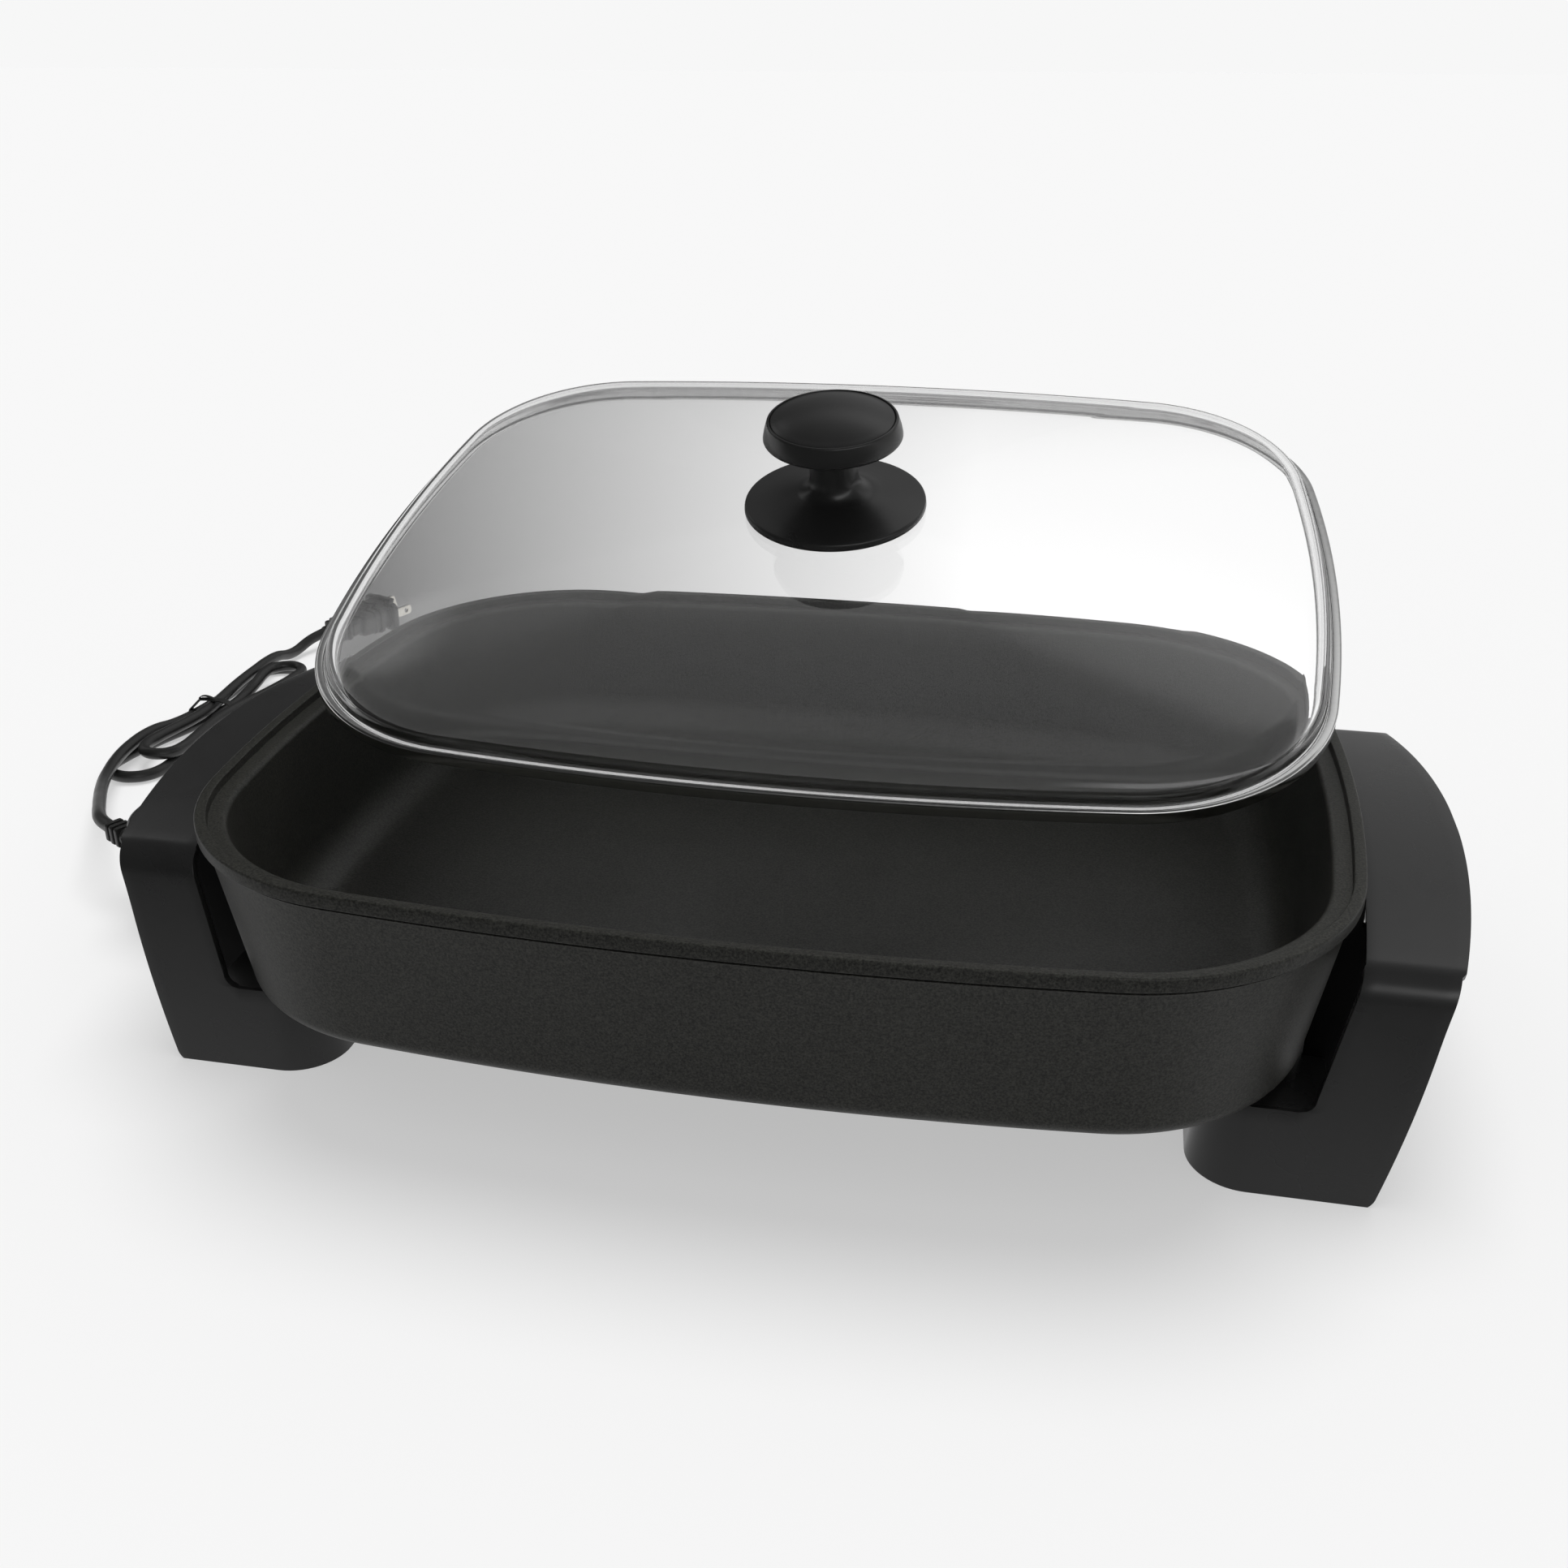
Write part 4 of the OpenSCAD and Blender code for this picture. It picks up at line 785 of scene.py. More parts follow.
def make_knob_disc():
    """Inlaid disc: a low dome with a rolled edge."""
    rise = KNOB_HEIGHT - CAP_TOP + 0.2
    reach = INSERT_RADIUS - 0.9
    sphere = (reach**2 + rise**2) / (2 * rise)
    span = math.asin(reach / sphere)
    dome = [(sphere * math.sin(span * t), KNOB_HEIGHT - sphere * (1 - math.cos(span * t)))
            for t in [1 - i / 16 for i in range(1, 16)]]
    profile = (
        [(0, CAP_TOP - 1.2), (INSERT_RADIUS - 0.15, CAP_TOP - 1.2), (INSERT_RADIUS - 0.15, CAP_TOP - 0.9)]
        + arc_points((INSERT_RADIUS - 1.15, CAP_TOP - 0.95), 1, 15, 62, 4)
        + dome
        + [(0, KNOB_HEIGHT)]
    )
    settle(turn_profile("knob_disc", profile), KNOB, "lid", "knob_plastic", "knob_insert", smooth=60)


make_knob_foot()
make_knob_head()
make_knob_disc()

# ---------------------------------------------------------------- heat control
HEATER_Z = 32.6
CONTROL_Z = 31.2
CASE_START, CASE_END = -218, -288
CASE_WIDTH, CASE_HEIGHT = 58, 32
CASE_TOP = CONTROL_Z + CASE_HEIGHT / 2
CASE_BOTTOM = CONTROL_Z - CASE_HEIGHT / 2
# The case's outer end slopes from this far along its top, which is drawn in by a share.
SLOPE_START = CASE_END + 25
SLOPE_SHARE = 0.84
SEAM_Z = 28.1
SEAM_GAP = 0.3
NOSE_END = -198.2
NOSE_HALF, NOSE_DROP = 27.5, 12.5
NOSE_BURIED = 16
PIN_Y = 16
# The nose's bores for the two pins and the probe, as place across and radius.
BORES = ((-PIN_Y, 3.4), (PIN_Y, 3.4), (0, 4.8))
BORE_DEPTH = 18
WELL_RADIUS = 3.2
WELLS = ((-234, -18), (-234, 18), (-272, -18), (-272, 18))
DIAL_X = -250
DIAL_Z = CASE_TOP + 0.4
DIAL = PAN @ shift(DIAL_X, 0, 0)
DIAL_STEPS = 128
FLUTES = 16
GRIP_RADII = (13.6, 16.2)
FLUTE_ARC = (8, 14.5)
FLUTE_SCALE = 0.92
PRINTED_STEPS = ("0", "150", "200", "250", "300", "350", "400")
PRINT_TURN = -40 * DEG
PRINT_RADIUS = 18.9
PRINT_SIZE = 3.1
PRINT_DEPTH = 0.03
SKIRT_TOP = 2.5


def make_case():
    """Heat control's case: a block with a sloped, rounded end and a narrower nose that holds the sockets."""
    case = add_block("case", (CASE_END, -CASE_WIDTH / 2, CASE_BOTTOM), (CASE_START, CASE_WIDTH / 2, CASE_TOP))
    bevel_where(case, 14, 10, lambda edge, middle: edge_runs(edge, 2) and middle.x > DIAL_X)
    bevel_where(case, 24, 14, lambda edge, middle: edge_runs(edge, 2) and middle.x < CASE_END + 1)
    pick(case, "verts", lambda vertex, middle: middle.z > CASE_TOP - 0.1 and middle.x < SLOPE_START)
    bpy.ops.transform.resize(value=(SLOPE_SHARE, 1, 1), center_override=millimetres(SLOPE_START, 0, CASE_TOP))
    bevel_where(case, 2.6, 5, lambda edge, middle: abs(middle.z - CASE_TOP) < 0.01)
    bevel_where(case, 2, 3, lambda edge, middle: abs(middle.z - CASE_BOTTOM) < 0.01)
    nose = add_block("nose", (CASE_START - NOSE_BURIED, -NOSE_HALF, HEATER_Z - NOSE_DROP),
                     (NOSE_END, NOSE_HALF, HEATER_Z + NOSE_DROP))
    bevel_where(nose, 4.8, 6, lambda edge, middle: edge_runs(edge, 0))
    bevel_where(nose, 0.8, 2, lambda edge, middle: abs(middle.x - NOSE_END) < 0.01)
    combine(case, nose, "UNION")
    for y, radius in BORES:
        bore = add_rod("bore", (NOSE_END - BORE_DEPTH, y, HEATER_Z), (NOSE_END + 2, y, HEATER_Z), radius)
        combine(case, bore, "DIFFERENCE")
    return case


def make_case_halves():
    """The case split along its seam, with sunk places for the screws in its underside."""
    base = rename(make_case(), "control_case_base")
    cover = duplicate(base, "control_case_cover")
    cut_away(base, SEAM_Z - SEAM_GAP / 2, keep_above=False)
    cut_away(cover, SEAM_Z + SEAM_GAP / 2, keep_above=True)
    for half in (base, cover):
        round_edges(half, 0.35, 2, 40)
    for x, y in WELLS:
        well = add_rod("well", (x, y, CASE_BOTTOM - 1), (x, y, CASE_BOTTOM + 1), WELL_RADIUS, 32)
        combine(base, well, "DIFFERENCE")
    settle(base, PAN, "control", "case_plastic", "control_base", smooth=35)
    settle(cover, PAN, "control", "case_plastic", "control_cover", smooth=35)


def make_dial():
    """Thermostat dial: a thin skirt for the scale and a raised grip with sixteen flutes."""
    profile = (
        [(0, 0), (20.5, 0), (21, 0.5), (21, 1.9), (20.5, 2.4), (17, SKIRT_TOP), (16.3, 2.7), (16, 3.3),
         (15.7, 4.5), (15.2, 6.4)]
        + arc_points((14.2, 7.2), 0.8, 10, 90, 4)
        + [(11.5, 8), (10.9, 7.6), (0, 7.4)]
    )
    raised = [(radius, DIAL_Z + height) for radius, height in profile]
    dial = turn_profile("thermostat_dial", raised, DIAL_STEPS)
    open_up(dial)

    def in_flute(vertex, middle):
        angle = math.degrees(math.atan2(middle.y, middle.x)) % (360 / FLUTES)
        on_grip = GRIP_RADII[0] < math.hypot(middle.x, middle.y) < GRIP_RADII[1] and middle.z > DIAL_Z + 3
        return on_grip and FLUTE_ARC[0] < angle < FLUTE_ARC[1]

    pick(dial, "verts", in_flute)
    bpy.ops.transform.resize(value=(FLUTE_SCALE, FLUTE_SCALE, 1), center_override=(0, 0, 0))
    bpy.ops.object.mode_set(mode="OBJECT")
    pointer = add_block("pointer", (2, -0.7, DIAL_Z + 7), (10.4, 0.7, DIAL_Z + 8.1))
    bevel_where(pointer, 0.3, 2, lambda edge, middle: middle.z > DIAL_Z + 7.5)
    settle(join_parts(dial, pointer), DIAL, "dial", "dial_plastic", "control_dial", smooth=35)


def make_dial_numbers():
    """Printed temperature steps round the dial's skirt, a hair proud of it."""
    digits = []
    for step, label in enumerate(PRINTED_STEPS):
        nothing_selected()
        bpy.ops.object.text_add(location=(0, 0, 0))
        text = bpy.context.object
        text.data.body = label
        text.data.size = PRINT_SIZE * MM
        text.data.align_x = text.data.align_y = "CENTER"
        text.data.extrude = PRINT_DEPTH * MM
        on_skirt = shift(PRINT_RADIUS, 0, DIAL_Z + SKIRT_TOP) @ turn(-90 * DEG)
        text.matrix_world = turn(PRINT_TURN * step) @ on_skirt
        bpy.ops.object.convert(target="MESH")
        bpy.ops.object.transform_apply(location=True, rotation=True, scale=True)
        digits.append(bpy.context.object)
    numbers = rename(join_parts(*digits), "dial_numbers")
    open_up(numbers)
    close_up()
    settle(numbers, DIAL, "dial", "dial_plastic", smooth=35, finish="print_ink")


make_case_halves()
make_dial()
make_dial_numbers()

# ---------------------------------------------------------------- cord fittings
RELIEF_AT = (-292.5, -2.24, 30)
RELIEF_TURN = 27 * DEG
RELIEF = PAN @ shift(*RELIEF_AT) @ turn(math.pi - RELIEF_TURN)
# The boot's core, as distance along it and radius, and the half widths of its ribs.
BOOT_CORE = ((0, 0), (0, 3.9), (3, 3.9), (8, 3.75), (12.4, 3.5), (13.1, 3.3), (13.2, 0))
BOOT_RIBS = (4.6, 4.5, 4.3)
KNUCKLE_RADIUS = 4.2
STUB_LENGTH, STUB_RADIUS = 8, 4
PLUG_AT = (-339, 356, 9.2)
PLUG_TURN = 69 * DEG
PLUG = PAN @ shift(*PLUG_AT) @ turn(PLUG_TURN)
# The plug's plain blocks: start, end, half width, half height, rounding along them and rounding at the ends.
PLUG_FACE = (-4, 0, 13.5, 9, 3.4, 0.9)
PLUG_GRIP = (-25, -3.5, 10.4, 7.3, 3.2, 1.4)
PLUG_GRIP_END = (-33.5, -22, 7, 5.6, 3.2, 1.6)
PLUG_RIBS = 3
BLADE_Y = 6.35
BLADE_ROOT, BLADE_TIP = -7.5, 17
BLADE_HALF_WALL, BLADE_HALF_WIDTH = 0.75, 3.15
HOLE_X, HOLE_RADIUS = 12.6, 1.6
TIE_AT = (-366.5, 119, 0)
HANK_TURN = math.atan2(128, 10)
TIE = PAN @ shift(*TIE_AT) @ turn(HANK_TURN)
# The tie's loop and its twisted ends, as place across the bundle and height.
TIE_LOOP = (
    [(-14, 0.55), (12, 0.55)] + arc_points((12.6, 3.9), 3.8, -60, 60, 5)
    + [(9, 12.4), (4, 12.9), (-4, 12.9), (-8, 12.2)]
    + arc_points((-13.6, 4.3), 4, 120, 240, 5) + [(-14, 0.55)]
)
TIE_END = ((-1, 13.3), (1.5, 14.2), (4.5, 15), (7.5, 14.6), (9.5, 13.2), (8.5, 12.6), (5.5, 13.4), (2, 13.3))


def make_strain_relief():
    """Strain relief: square ribs that shrink along a tapered core, and a knuckle where it leaves the case."""
    core = draw_line("strain_relief_boot", [(along, 0, radius) for along, radius in BOOT_CORE])
    spin(WHOLE_TURN, 40, axis=(1, 0, 0))
    close_up()
    parts = []
    for i, half in enumerate(BOOT_RIBS):
        start = 1.8 + 4 * i
        parts.append(add_rounded_block("rib", start, start + 2.3, half, half, 1.4, 0.45))
    nothing_selected()
    bpy.ops.mesh.primitive_uv_sphere_add(segments=40, ring_count=20, radius=KNUCKLE_RADIUS * MM)
    parts.append(bpy.context.object)
    stub_end = (-STUB_LENGTH * math.cos(RELIEF_TURN), -STUB_LENGTH * math.sin(RELIEF_TURN), 0)
    parts.append(add_rod("stub", (0, 0, 0), stub_end, STUB_RADIUS, 40))
    return settle(join_parts(core, *parts), RELIEF, "control", "cord_rubber", "strain_relief")


def make_plug():
    """Moulded two-blade plug: a flared face, a grip with stepped ribs, and a flexible ribbed tail."""
    face = add_rounded_block("plug_moulding", *PLUG_FACE)
    parts = [add_rounded_block("grip", *PLUG_GRIP), add_rounded_block("grip_end", *PLUG_GRIP_END)]
    for i in range(PLUG_RIBS):
        start = -13 - 4.4 * i
        wide, high = 11.7 - 0.9 * i, 8.2 - 0.3 * i
        parts.append(add_rounded_block("grip_rib", start, start + 2.6, wide, high, 3.2, 0.6))
    for i in range(PLUG_RIBS):
        start = -36 - 4.2 * i
        half = 6.3 - 0.6 * i
        parts.append(add_rounded_block("tail_rib", start, start + 2.4, half, half, 1.7, 0.5))
    nothing_selected()
    bpy.ops.mesh.primitive_cone_add(vertices=40, radius1=3.5 * MM, radius2=4.8 * MM, depth=18 * MM,
                                    location=millimetres(-40, 0, 0), rotation=(0, math.pi / 2, 0))
    bpy.ops.object.transform_apply(location=True, rotation=True, scale=True)
    parts.append(bpy.context.object)
    return settle(join_parts(face, *parts), PLUG, "control", "cord_rubber", "plug_body", smooth=35)


def make_blades():
    """Flat blades with a hole each and chamfered tips."""
    blades = []
    for y in (-BLADE_Y, BLADE_Y):
        blade = add_block("plug_blade_pair", (BLADE_ROOT, y - BLADE_HALF_WALL, -BLADE_HALF_WIDTH),
                          (BLADE_TIP, y + BLADE_HALF_WALL, BLADE_HALF_WIDTH))
        bevel_where(blade, 2, 2, lambda part, middle: abs(middle.x - BLADE_TIP) < 0.01 and edge_runs(part, 1))
        bpy.ops.object.mode_set(mode="OBJECT")
        hole = add_rod("hole", (HOLE_X, y - 2, 0), (HOLE_X, y + 2, 0), HOLE_RADIUS, 32)
        combine(blade, hole, "DIFFERENCE")
        round_edges(blade, 0.15, 2, 40)
        blades.append(blade)
    return settle(join_parts(*blades), PLUG, "control", "pin_steel", "plug_blades", smooth=30)


def bend_strip(name, line, start, width, wall):
    """A strip of one width and wall bent along a line."""
    strip = draw_line(name, [(start, y, z) for y, z in line])
    extrude(width, 0, 0)
    close_up()
    modify(strip, "SOLIDIFY", thickness=wall * MM, offset=0)
    return strip


def make_tie():
    """Twist tie drawn flat round the bundle, its ends twisted together and pressed down on top."""
    tie = bend_strip("cord_twist_tie", TIE_LOOP, 66, 4, 0.7)
    round_edges(tie, 0.15, 2, 40)
    ends = bend_strip("tie_end", TIE_END, 66.6, 2.2, 0.8)
    modify(ends, "SUBSURF", levels=2, render_levels=2)
    return settle(join_parts(tie, ends), TIE, "control", "tie_plastic", "cord_tie")


strain_relief_boot = make_strain_relief()
plug_moulding = make_plug()
plug_blade_pair = make_blades()
cord_twist_tie = make_tie()

# ---------------------------------------------------------------- finishes
# A colour Mix node's inputs and output, by number because its other kinds share their names.
FACTOR, FIRST, SECOND = 0, 6, 7
MIXED = 2
# Between these two lies nearly all of a noise.
NOISE_LOW, NOISE_HIGH = 0.3, 0.7


def linear(code):
    """An sRGB hex colour as linear red, green, blue and alpha."""
    parts = [int(code[i:i + 2], 16) / 255 for i in (0, 2, 4)]
    return (*[p / 12.92 if p <= 0.04045 else ((p + 0.055) / 1.055) ** 2.4 for p in parts], 1)


def new_finish(name):
    finish = bpy.data.materials.new(name)
    finish.use_nodes = True
    finish.node_tree.nodes.clear()
    return finish


def add_node(tree, kind, inputs=None, **settings):
    """Adds a node with its settings; an input that is another node's output is linked, any other is set."""
    node = tree.nodes.new(kind)
    for name, value in settings.items():
        setattr(node, name, value)
    for name, value in (inputs or {}).items():
        if isinstance(value, bpy.types.NodeSocket):
            tree.links.new(value, node.inputs[name])
        else:
            node.inputs[name].default_value = value
    return node


def per_millimetre(size):
    """The scale of a noise whose features are this many millimetres apart."""
    return 1 / (size * MM)


def wander(tree, pattern, dark, light, roughness, spread):
    """A tint and a roughness that wander together with a pattern."""
    tint = add_node(tree, "ShaderNodeMix", {FACTOR: pattern, FIRST: linear(dark), SECOND: linear(light)},
                    data_type="RGBA")
    dull = add_node(tree, "ShaderNodeMapRange", {
        "Value": pattern, "From Min": NOISE_LOW, "From Max": NOISE_HIGH, "To Min": roughness,
        "To Max": roughness + spread})
    return {"Base Color": tint.outputs[MIXED], "Roughness": dull.outputs["Result"]}


def close_finish(finish, inputs):
    """Ends a finish in one surface and gives it back."""
    tree = finish.node_tree
    surface = add_node(tree, "ShaderNodeBsdfPrincipled", inputs)
    add_node(tree, "ShaderNodeOutputMaterial", {"Surface": surface.outputs["BSDF"]})
    return finish


def cast_nonstick_aluminium():
    """Die-cast aluminium under a baked satin coating: nearly black, its sheen broken by fine orange peel."""
    finish = new_finish("nonstick_coated_cast_aluminium")
    tree = finish.node_tree
    place = add_node(tree, "ShaderNodeTexCoord").outputs["Object"]
    peel = add_node(tree, "ShaderNodeTexNoise", {"Vector": place, "Scale": per_millimetre(1.4), "Detail": 2})
    grit = add_node(tree, "ShaderNodeTexNoise", {
        "Vector": place, "Scale": per_millimetre(0.8), "Detail": 3, "Roughness": 0.7})
    cloud = add_node(tree, "ShaderNodeTexNoise", {"Vector": place, "Scale": per_millimetre(60), "Detail": 2})
    speck = add_node(tree, "ShaderNodeMapRange", {
        "Value": grit.outputs["Fac"], "From Min": 0.36, "From Max": 0.66})
    colour = add_node(tree, "ShaderNodeMix", {
        FACTOR: speck.outputs["Result"], FIRST: linear("161614"), SECOND: linear("363632")}, data_type="RGBA")
    rough = add_node(tree, "ShaderNodeMapRange", {
        "Value": cloud.outputs["Fac"], "From Min": NOISE_LOW, "From Max": NOISE_HIGH,
        "To Min": 0.4, "To Max": 0.5})
    fine = add_node(tree, "ShaderNodeBump", {
        "Height": grit.outputs["Fac"], "Strength": 0.7, "Distance": 0.1 * MM})
    bump = add_node(tree, "ShaderNodeBump", {
        "Height": peel.outputs["Fac"], "Strength": 0.25, "Distance": 0.1 * MM,
        "Normal": fine.outputs["Normal"]})
    return close_finish(finish, {
        "Base Color": colour.outputs[MIXED], "Roughness": rough.outputs["Result"], "IOR": 1.45,
        "Specular IOR Level": 0.36, "Normal": bump.outputs["Normal"]})


def moulded(name, dark, light, roughness, spread, grain, depth, ior=1.5):
    """A moulded polymer: an even dark colour with faint flow clouding, and a skin as rough as its mould."""
    finish = new_finish(name)
    tree = finish.node_tree
    place = add_node(tree, "ShaderNodeTexCoord").outputs["Object"]
    flow = add_node(tree, "ShaderNodeTexNoise", {
        "Vector": place, "Scale": per_millimetre(25), "Detail": 3, "Distortion": 0.6})
    skin = add_node(tree, "ShaderNodeTexNoise", {
        "Vector": place, "Scale": per_millimetre(grain), "Detail": 2})
    bump = add_node(tree, "ShaderNodeBump", {
        "Height": skin.outputs["Fac"], "Strength": 0.3, "Distance": depth * MM})
    uneven = wander(tree, flow.outputs["Fac"], dark, light, roughness, spread)
    return close_finish(finish, uneven | {"IOR": ior, "Normal": bump.outputs["Normal"]})


def worked_metal(name, dark, light, roughness, spread, grain, stretch=(1, 1, 1)):
    """A bare or plated metal whose tint and gloss wander slightly with how it was drawn, rolled or turned."""
    finish = new_finish(name)
    tree = finish.node_tree
    place = add_node(tree, "ShaderNodeTexCoord").outputs["Object"]
    lines = add_node(tree, "ShaderNodeMapping", {"Vector": place, "Scale": stretch})
    wear_marks = add_node(tree, "ShaderNodeTexNoise", {
        "Vector": lines.outputs["Vector"], "Scale": per_millimetre(grain), "Detail": 3}).outputs["Fac"]
    bump = add_node(tree, "ShaderNodeBump", {"Height": wear_marks, "Strength": 0.15, "Distance": 0.03 * MM})
    uneven = wander(tree, wear_marks, dark, light, roughness, spread)
    return close_finish(finish, uneven | {"Metallic": 1, "Normal": bump.outputs["Normal"]})


def tempered_glass():
    """Soda-lime glass, pressed and tempered: clear, with a faint slow roller wave in its surface."""
    finish = new_finish("tempered_soda_lime_glass")
    tree = finish.node_tree
    place = add_node(tree, "ShaderNodeTexCoord").outputs["Object"]
    wave = add_node(tree, "ShaderNodeTexNoise", {"Vector": place, "Scale": per_millimetre(70), "Detail": 1})
    bump = add_node(tree, "ShaderNodeBump", {
        "Height": wave.outputs["Fac"], "Strength": 0.1, "Distance": 0.2 * MM})
    return close_finish(finish, {
        "Base Color": linear("FDFDFD"), "Roughness": 0.01, "IOR": 1.5, "Transmission Weight": 1,
        "Normal": bump.outputs["Normal"]})


FINISHES = {
    "pan_coat": cast_nonstick_aluminium(),
    # Bare die casting: light grey with a dull, slightly blotched skin.
    "cast_metal": worked_metal("bare_die_cast_aluminium", "8C8C8A", "A9A9A6", 0.45, 0.15, 6),
    # Nickel alloy sheath, swaged and darkened by heat: brown-grey bands along its length.
    "heater_sheath": worked_metal("heat_darkened_incoloy_sheath", "4A433C", "77706A", 0.35, 0.2, 18),
    # Nickel-plated steel: bright, with drawing marks along the pin.
    "pin_steel": worked_metal("nickel_plated_drawn_steel", "B9B6AE", "D9D6CF", 0.16, 0.08, 1.2, (0.2, 1, 1)),
    # Pressed steatite, fired unglazed: chalky off-white.
    "bead_ceramic": moulded("unglazed_steatite_ceramic", "D8D2C4", "E8E3D8", 0.55, 0.1, 0.8, 0.05, 1.6),
    # Zinc-plated sheet steel, pressed: pale grey with soft spangle.
    "guard_steel": worked_metal("zinc_plated_pressed_steel", "A5A7A6", "C2C4C3", 0.3, 0.15, 3),
    # Phenolic, compression moulded: black with a satin gloss that varies slightly along the flow.
    "stand_plastic": moulded("compression_moulded_phenolic", "1E1E1E", "262626", 0.26, 0.06, 1.4, 0.02),
    # The same phenolic where the mould was left as cut: dull, with no polish to mirror the room; its colour is
    # darkened far below the stands' to paint the shade in the hollow behind the legs.
    "rib_plastic_painted_shade": moulded("phenolic_rib_painted_shade", "060606", "0A0A0A", 0.75, 0.1, 0.8, 0.05, 1.25),
    # Plated screw steel: bright turned heads.
    "screw_steel": worked_metal("zinc_plated_screw_steel", "A0A0A0", "C6C6C4", 0.22, 0.12, 1),
    # Rolled and polished stainless steel: near mirror with very fine drawing lines.
    "band_steel": worked_metal("rolled_polished_stainless_steel", "C4C4C4", "DADAD9", 0.1, 0.07, 2.5),
    "lid_glass": tempered_glass(),
    # Phenolic, polished mould: deep gloss black.
    "knob_plastic": moulded("polished_moulded_phenolic", "1E1E1E", "242424", 0.27, 0.05, 2.5, 0.02),
    # Silicone, moulded: dull brick red.
    "gasket_silicone": moulded("moulded_silicone_rubber", "7A2A22", "8C352B", 0.5, 0.1, 0.8, 0.02, 1.43),
    # Glass-filled polyester, injection moulded: black with a fine spark texture.
    "case_plastic": moulded("injection_moulded_polyester", "111111", "191918", 0.32, 0.08, 0.5, 0.05, 1.55),
    # Turned brass: warm yellow with turning rings.
    "sleeve_brass": worked_metal("turned_brass", "A8853F", "C9A85C", 0.2, 0.1, 1),
    # Nylon, injection moulded: black, duller than the case.
    "dial_plastic": moulded("injection_moulded_nylon", "151515", "1D1D1C", 0.38, 0.08, 0.6, 0.05, 1.53),
    # Pad-printed ink: flat white, too thin to show a texture of its own.
    "print_ink": moulded("white_pad_printing_ink", "D6D6D2", "E4E4E0", 0.5, 0.1, 0.5, 0.01),
    # Polycarbonate, moulded and tinted: glossy red.
    "lens_red": moulded("tinted_moulded_polycarbonate", "8E1610", "A81C14", 0.1, 0.03, 2, 0.01, 1.58),
    # Extruded soft vinyl jacket: black with a waxy sheen.
    "cord_rubber": moulded("extruded_vinyl_jacket", "1E1E1E", "262625", 0.34, 0.1, 0.7, 0.04),
    # Vinyl-coated wire: satin black.
    "tie_plastic": moulded("vinyl_coated_wire", "161616", "20201F", 0.35, 0.1, 0.7, 0.03),
}
# What each CAD node wears where it isn't the stands' plastic.
NODE_FINISHES = {
    "pan_bosses": "cast_metal", "heating_element": "heater_sheath", "terminal_pins": "pin_steel",
    "terminal_beads": "bead_ceramic", "sensor_well": "cast_metal", "terminal_guard": "guard_steel",
    "left_screws": "screw_steel", "right_screws": "screw_steel", "knob_gasket": "gasket_silicone",
    "knob_washer": "screw_steel", "knob_screw": "screw_steel", "case_screws": "screw_steel",
    "contact_sleeves": "sleeve_brass", "sensor_probe": "pin_steel", "probe_collar": "sleeve_brass",
    "dial_shaft": "sleeve_brass", "indicator_lens": "lens_red",
}


def wear(piece, finish):
    """Gives a piece one finish."""
    if not piece.material_slots:
        piece.data.materials.append(finish)
    for slot in piece.material_slots:
        slot.material = finish


for piece, finish_name in worn.items():
    wear(piece, FINISHES[finish_name])
for node_name, cad_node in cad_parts.items():
    wear(cad_node, FINISHES[NODE_FINISHES.get(node_name, "stand_plastic")])

# ---------------------------------------------------------------- studio
PLAIN_WHITE = (1, 1, 1, 1)
STUDIO_WHITE = linear("F7F7F7")
LIGHT_LEVEL = 0.42
SUN_LEVEL = 2.03
SUN_WIDTH = 40 * DEG
SUN_TILT = (-15 * DEG, 2 * DEG, 0)
# The paper's size and how far back its middle lies, in metres.
PAPER_SIZE, PAPER_BACK = 24, 4
# What reflections see of the room. Each level eases between two places: across the room (X), in height (Z)
# or in the angle that rises from the back over the top to the front (rise).
ROOM_LEVELS = (
    ("aside", "X", -0.55, 0.35, 0.14, 1),
    ("above", "Z", 0.93, 0.985, 1, 0.06),
    ("below", "Z", -0.03, 0.08, 0.1, 1),
    ("backdrop", "rise", 44 * DEG, 62 * DEG, 0.4, 0.2),
    ("lamp_start", "rise", 42 * DEG, 49 * DEG, 0, 1),
    ("lamp_end", "rise", 58 * DEG, 65 * DEG, 1, 0),
    ("lamp_level", "X", -0.53, -0.47, 5, 0.6),
    ("front_start", "rise", 137 * DEG, 146 * DEG, 0, 1),
    ("front_end", "rise", 154 * DEG, 163 * DEG, 1, 0),
    ("front_level", "X", 0.08, 0.2, 0, 2.2),
)
# How the levels make one brightness: the back lamp on its backdrop, dimmed to one side, overhead and near the
# floor, with the front lamp on top.
ROOM_SUMS = (
    ("lamp", "MULTIPLY", "lamp_start", "lamp_end"),
    ("strip", "MULTIPLY_ADD", "lamp", "lamp_level", "backdrop"),
    ("wall", "MULTIPLY", "aside", "strip"),
    ("shade", "MULTIPLY", "above", "below"),
    ("front", "MULTIPLY", "front_start", "front_end"),
    ("front_lamp", "MULTIPLY", "front", "front_level"),
    ("room", "MULTIPLY_ADD", "wall", "shade", "front_lamp"),
)


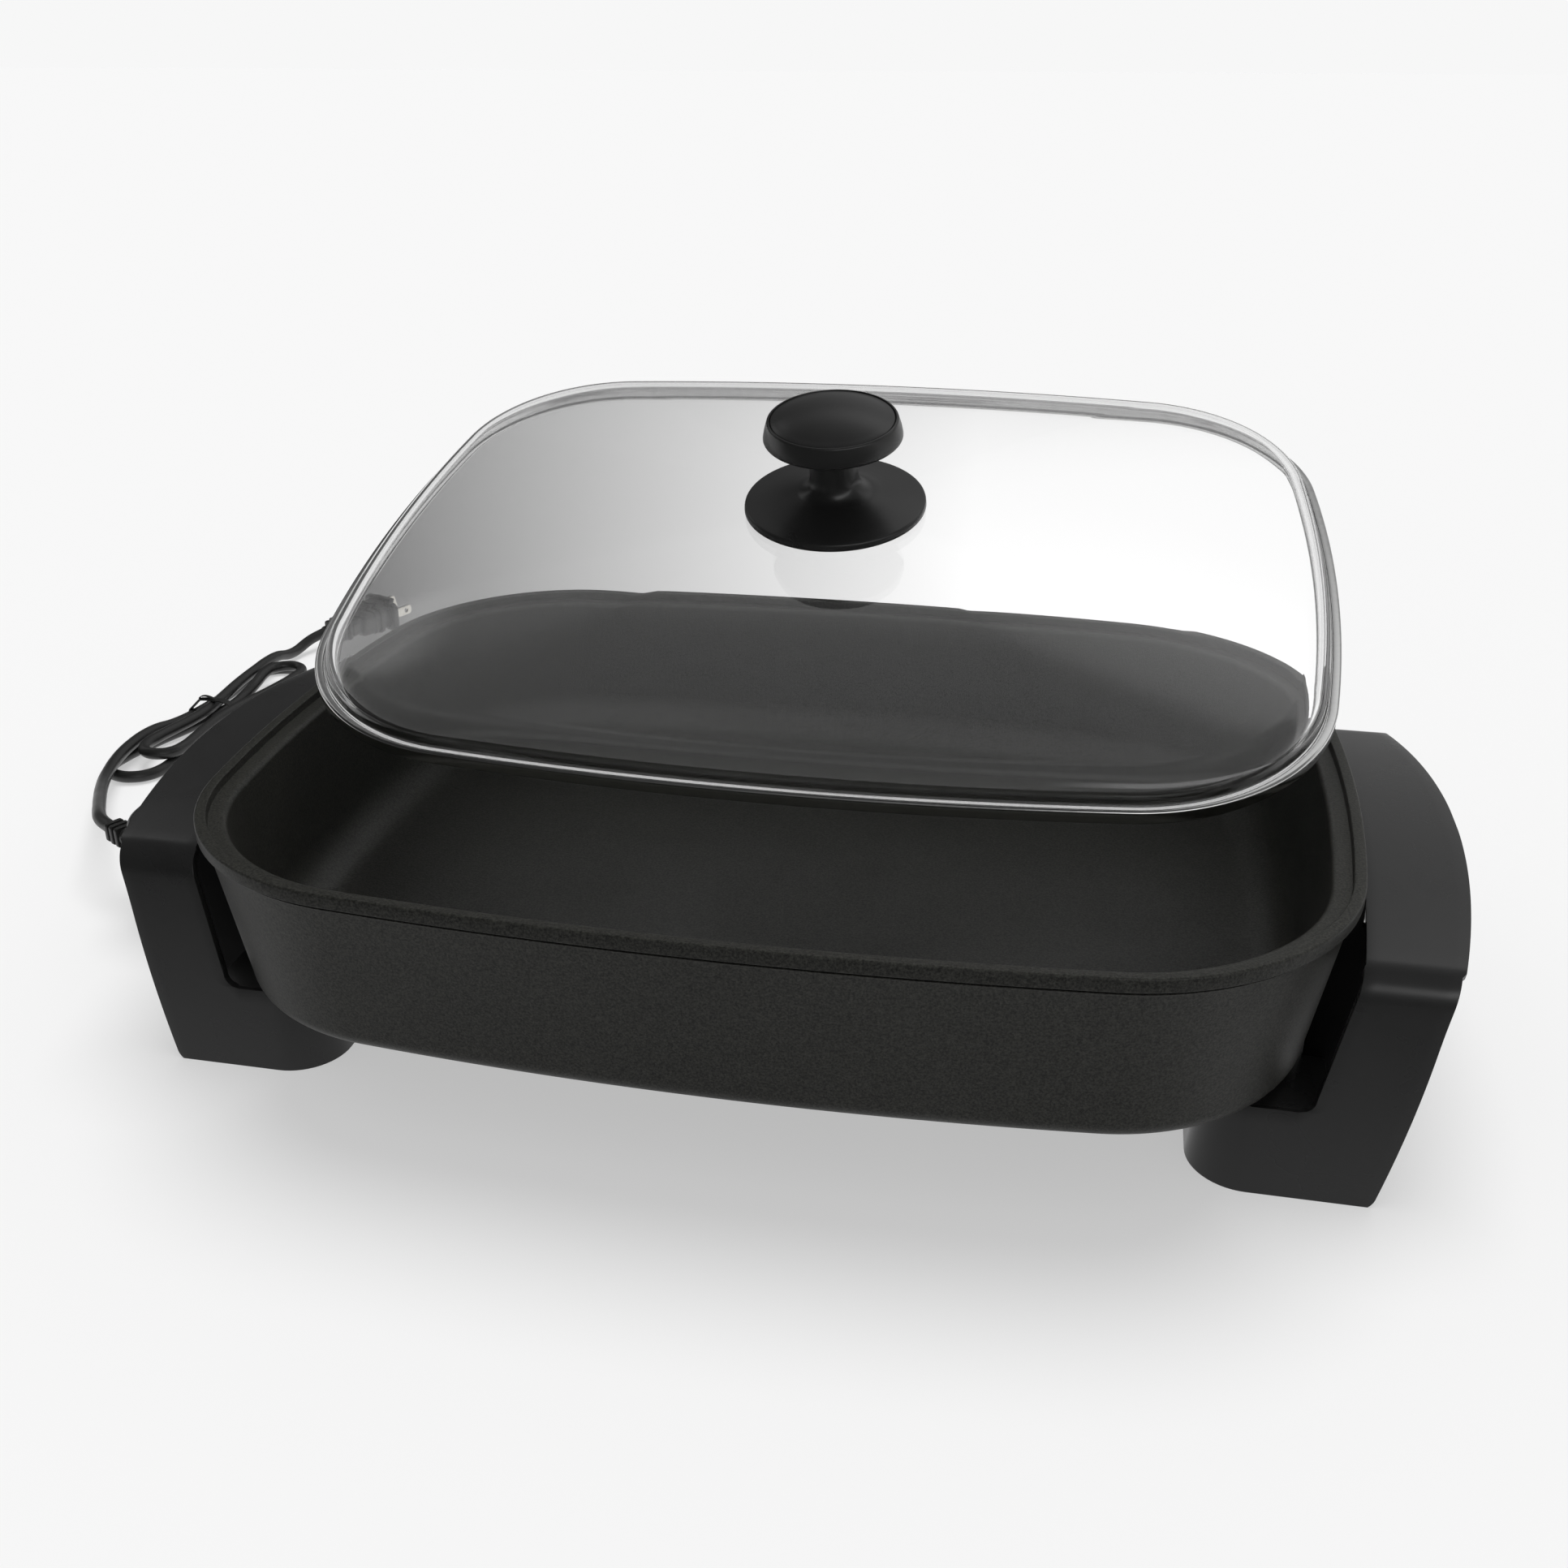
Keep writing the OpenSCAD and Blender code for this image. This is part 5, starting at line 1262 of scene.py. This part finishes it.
def light_world():
    """Even light on surfaces; in reflections the room runs from dim on the left to white on the right."""
    world = bpy.data.worlds.new("studio")
    bpy.context.scene.world = world
    world.use_nodes = True
    tree = world.node_tree
    tree.nodes.clear()
    direction = add_node(tree, "ShaderNodeTexCoord").outputs["Generated"]
    way = add_node(tree, "ShaderNodeSeparateXYZ", {0: direction}).outputs
    rise = add_node(tree, "ShaderNodeMath", {0: way["Z"], 1: way["Y"]}, operation="ARCTAN2").outputs[0]
    level = {"X": way["X"], "Z": way["Z"], "rise": rise}
    for name, source, start, end, low, high in ROOM_LEVELS:
        level[name] = add_node(tree, "ShaderNodeMapRange", {
            "Value": level[source], "From Min": start, "From Max": end, "To Min": low, "To Max": high},
            interpolation_type="SMOOTHSTEP").outputs["Result"]
    for name, operation, *parts in ROOM_SUMS:
        inputs = {i: level[part] for i, part in enumerate(parts)}
        level[name] = add_node(tree, "ShaderNodeMath", inputs, operation=operation).outputs[0]
    soft, mirrored, shown = [
        add_node(tree, "ShaderNodeBackground", {"Color": colour, "Strength": strength}).outputs[0]
        for colour, strength in ((PLAIN_WHITE, LIGHT_LEVEL), (PLAIN_WHITE, level["room"]), (STUDIO_WHITE, 1))]
    ray = add_node(tree, "ShaderNodeLightPath").outputs
    straight = add_node(tree, "ShaderNodeMath", {0: ray["Is Camera Ray"], 1: ray["Is Transmission Ray"]},
                        operation="MAXIMUM").outputs[0]
    light = soft
    for test, other in ((ray["Is Glossy Ray"], mirrored), (straight, shown)):
        light = add_node(tree, "ShaderNodeMixShader", {0: test, 1: light, 2: other}).outputs[0]
    add_node(tree, "ShaderNodeOutputWorld", {"Surface": light})


def lay_paper():
    """Matte paper that takes the shadow; half of its white is its own, so that the shadow stays pale.

    Reflections see it dim in front, and through the glass it glows with a painted shade that darkens towards
    the left of the camera's view.
    """
    nothing_selected()
    bpy.ops.mesh.primitive_plane_add(size=PAPER_SIZE, location=PAN @ Vector((0, PAPER_BACK, 0)))
    floor = rename(bpy.context.object, "studio_floor")
    bpy.ops.object.transform_apply(location=True)
    finish = new_finish("matte_studio_paper")
    tree = finish.node_tree
    place = add_node(tree, "ShaderNodeTexCoord").outputs["Object"]
    way = add_node(tree, "ShaderNodeSeparateXYZ", {0: place}).outputs
    dim = add_node(tree, "ShaderNodeMapRange", {
        "Value": way["Y"], "From Min": -0.45, "From Max": 0.1, "To Min": 0.1, "To Max": 0.9},
        interpolation_type="SMOOTHSTEP").outputs["Result"]
    # Painted shade seen through the glass: the paper's glow dims towards the left of the camera's view.
    aside, away = [
        add_node(tree, "ShaderNodeMath", {0: way[axis], 1: start}, operation="SUBTRACT").outputs[0]
        for axis, start in (("X", camera.location.x), ("Y", camera.location.y))]
    fan = add_node(tree, "ShaderNodeMath", {0: aside, 1: away}, operation="DIVIDE").outputs[0]
    tint = add_node(tree, "ShaderNodeMapRange", {
        "Value": fan, "From Min": -0.5, "From Max": -0.08, "To Min": 0.16, "To Max": 1.07}).outputs["Result"]
    own_white, mirrored, through = [
        add_node(tree, "ShaderNodeEmission", {"Color": colour, "Strength": strength}).outputs[0]
        for colour, strength in ((STUDIO_WHITE, 1), (PLAIN_WHITE, dim), (PLAIN_WHITE, tint))]
    paper = add_node(tree, "ShaderNodeBsdfDiffuse", {"Color": linear("F4F4F4")}).outputs[0]
    pale = add_node(tree, "ShaderNodeMixShader", {0: 0.5, 1: paper, 2: own_white}).outputs[0]
    ray = add_node(tree, "ShaderNodeLightPath").outputs
    look = paper
    swaps = (("Is Camera Ray", pale), ("Is Glossy Ray", mirrored), ("Is Transmission Ray", through))
    for test, other in swaps:
        look = add_node(tree, "ShaderNodeMixShader", {0: ray[test], 1: look, 2: other}).outputs[0]
    add_node(tree, "ShaderNodeOutputMaterial", {"Surface": look})
    wear(floor, finish)


def hang_sun():
    """The main light, wide and soft, kept out of reflections and of the glass."""
    data = bpy.data.lights.new("key", "SUN")
    data.energy = SUN_LEVEL
    data.angle = SUN_WIDTH
    sun = bpy.data.objects.new("key", data)
    bpy.context.scene.collection.objects.link(sun)
    sun.rotation_euler = SUN_TILT
    sun.visible_glossy = False
    sun.visible_transmission = False


bpy.context.scene.view_settings.view_transform = "Standard"
light_world()
lay_paper()
hang_sun()

bpy.context.view_layer.update()
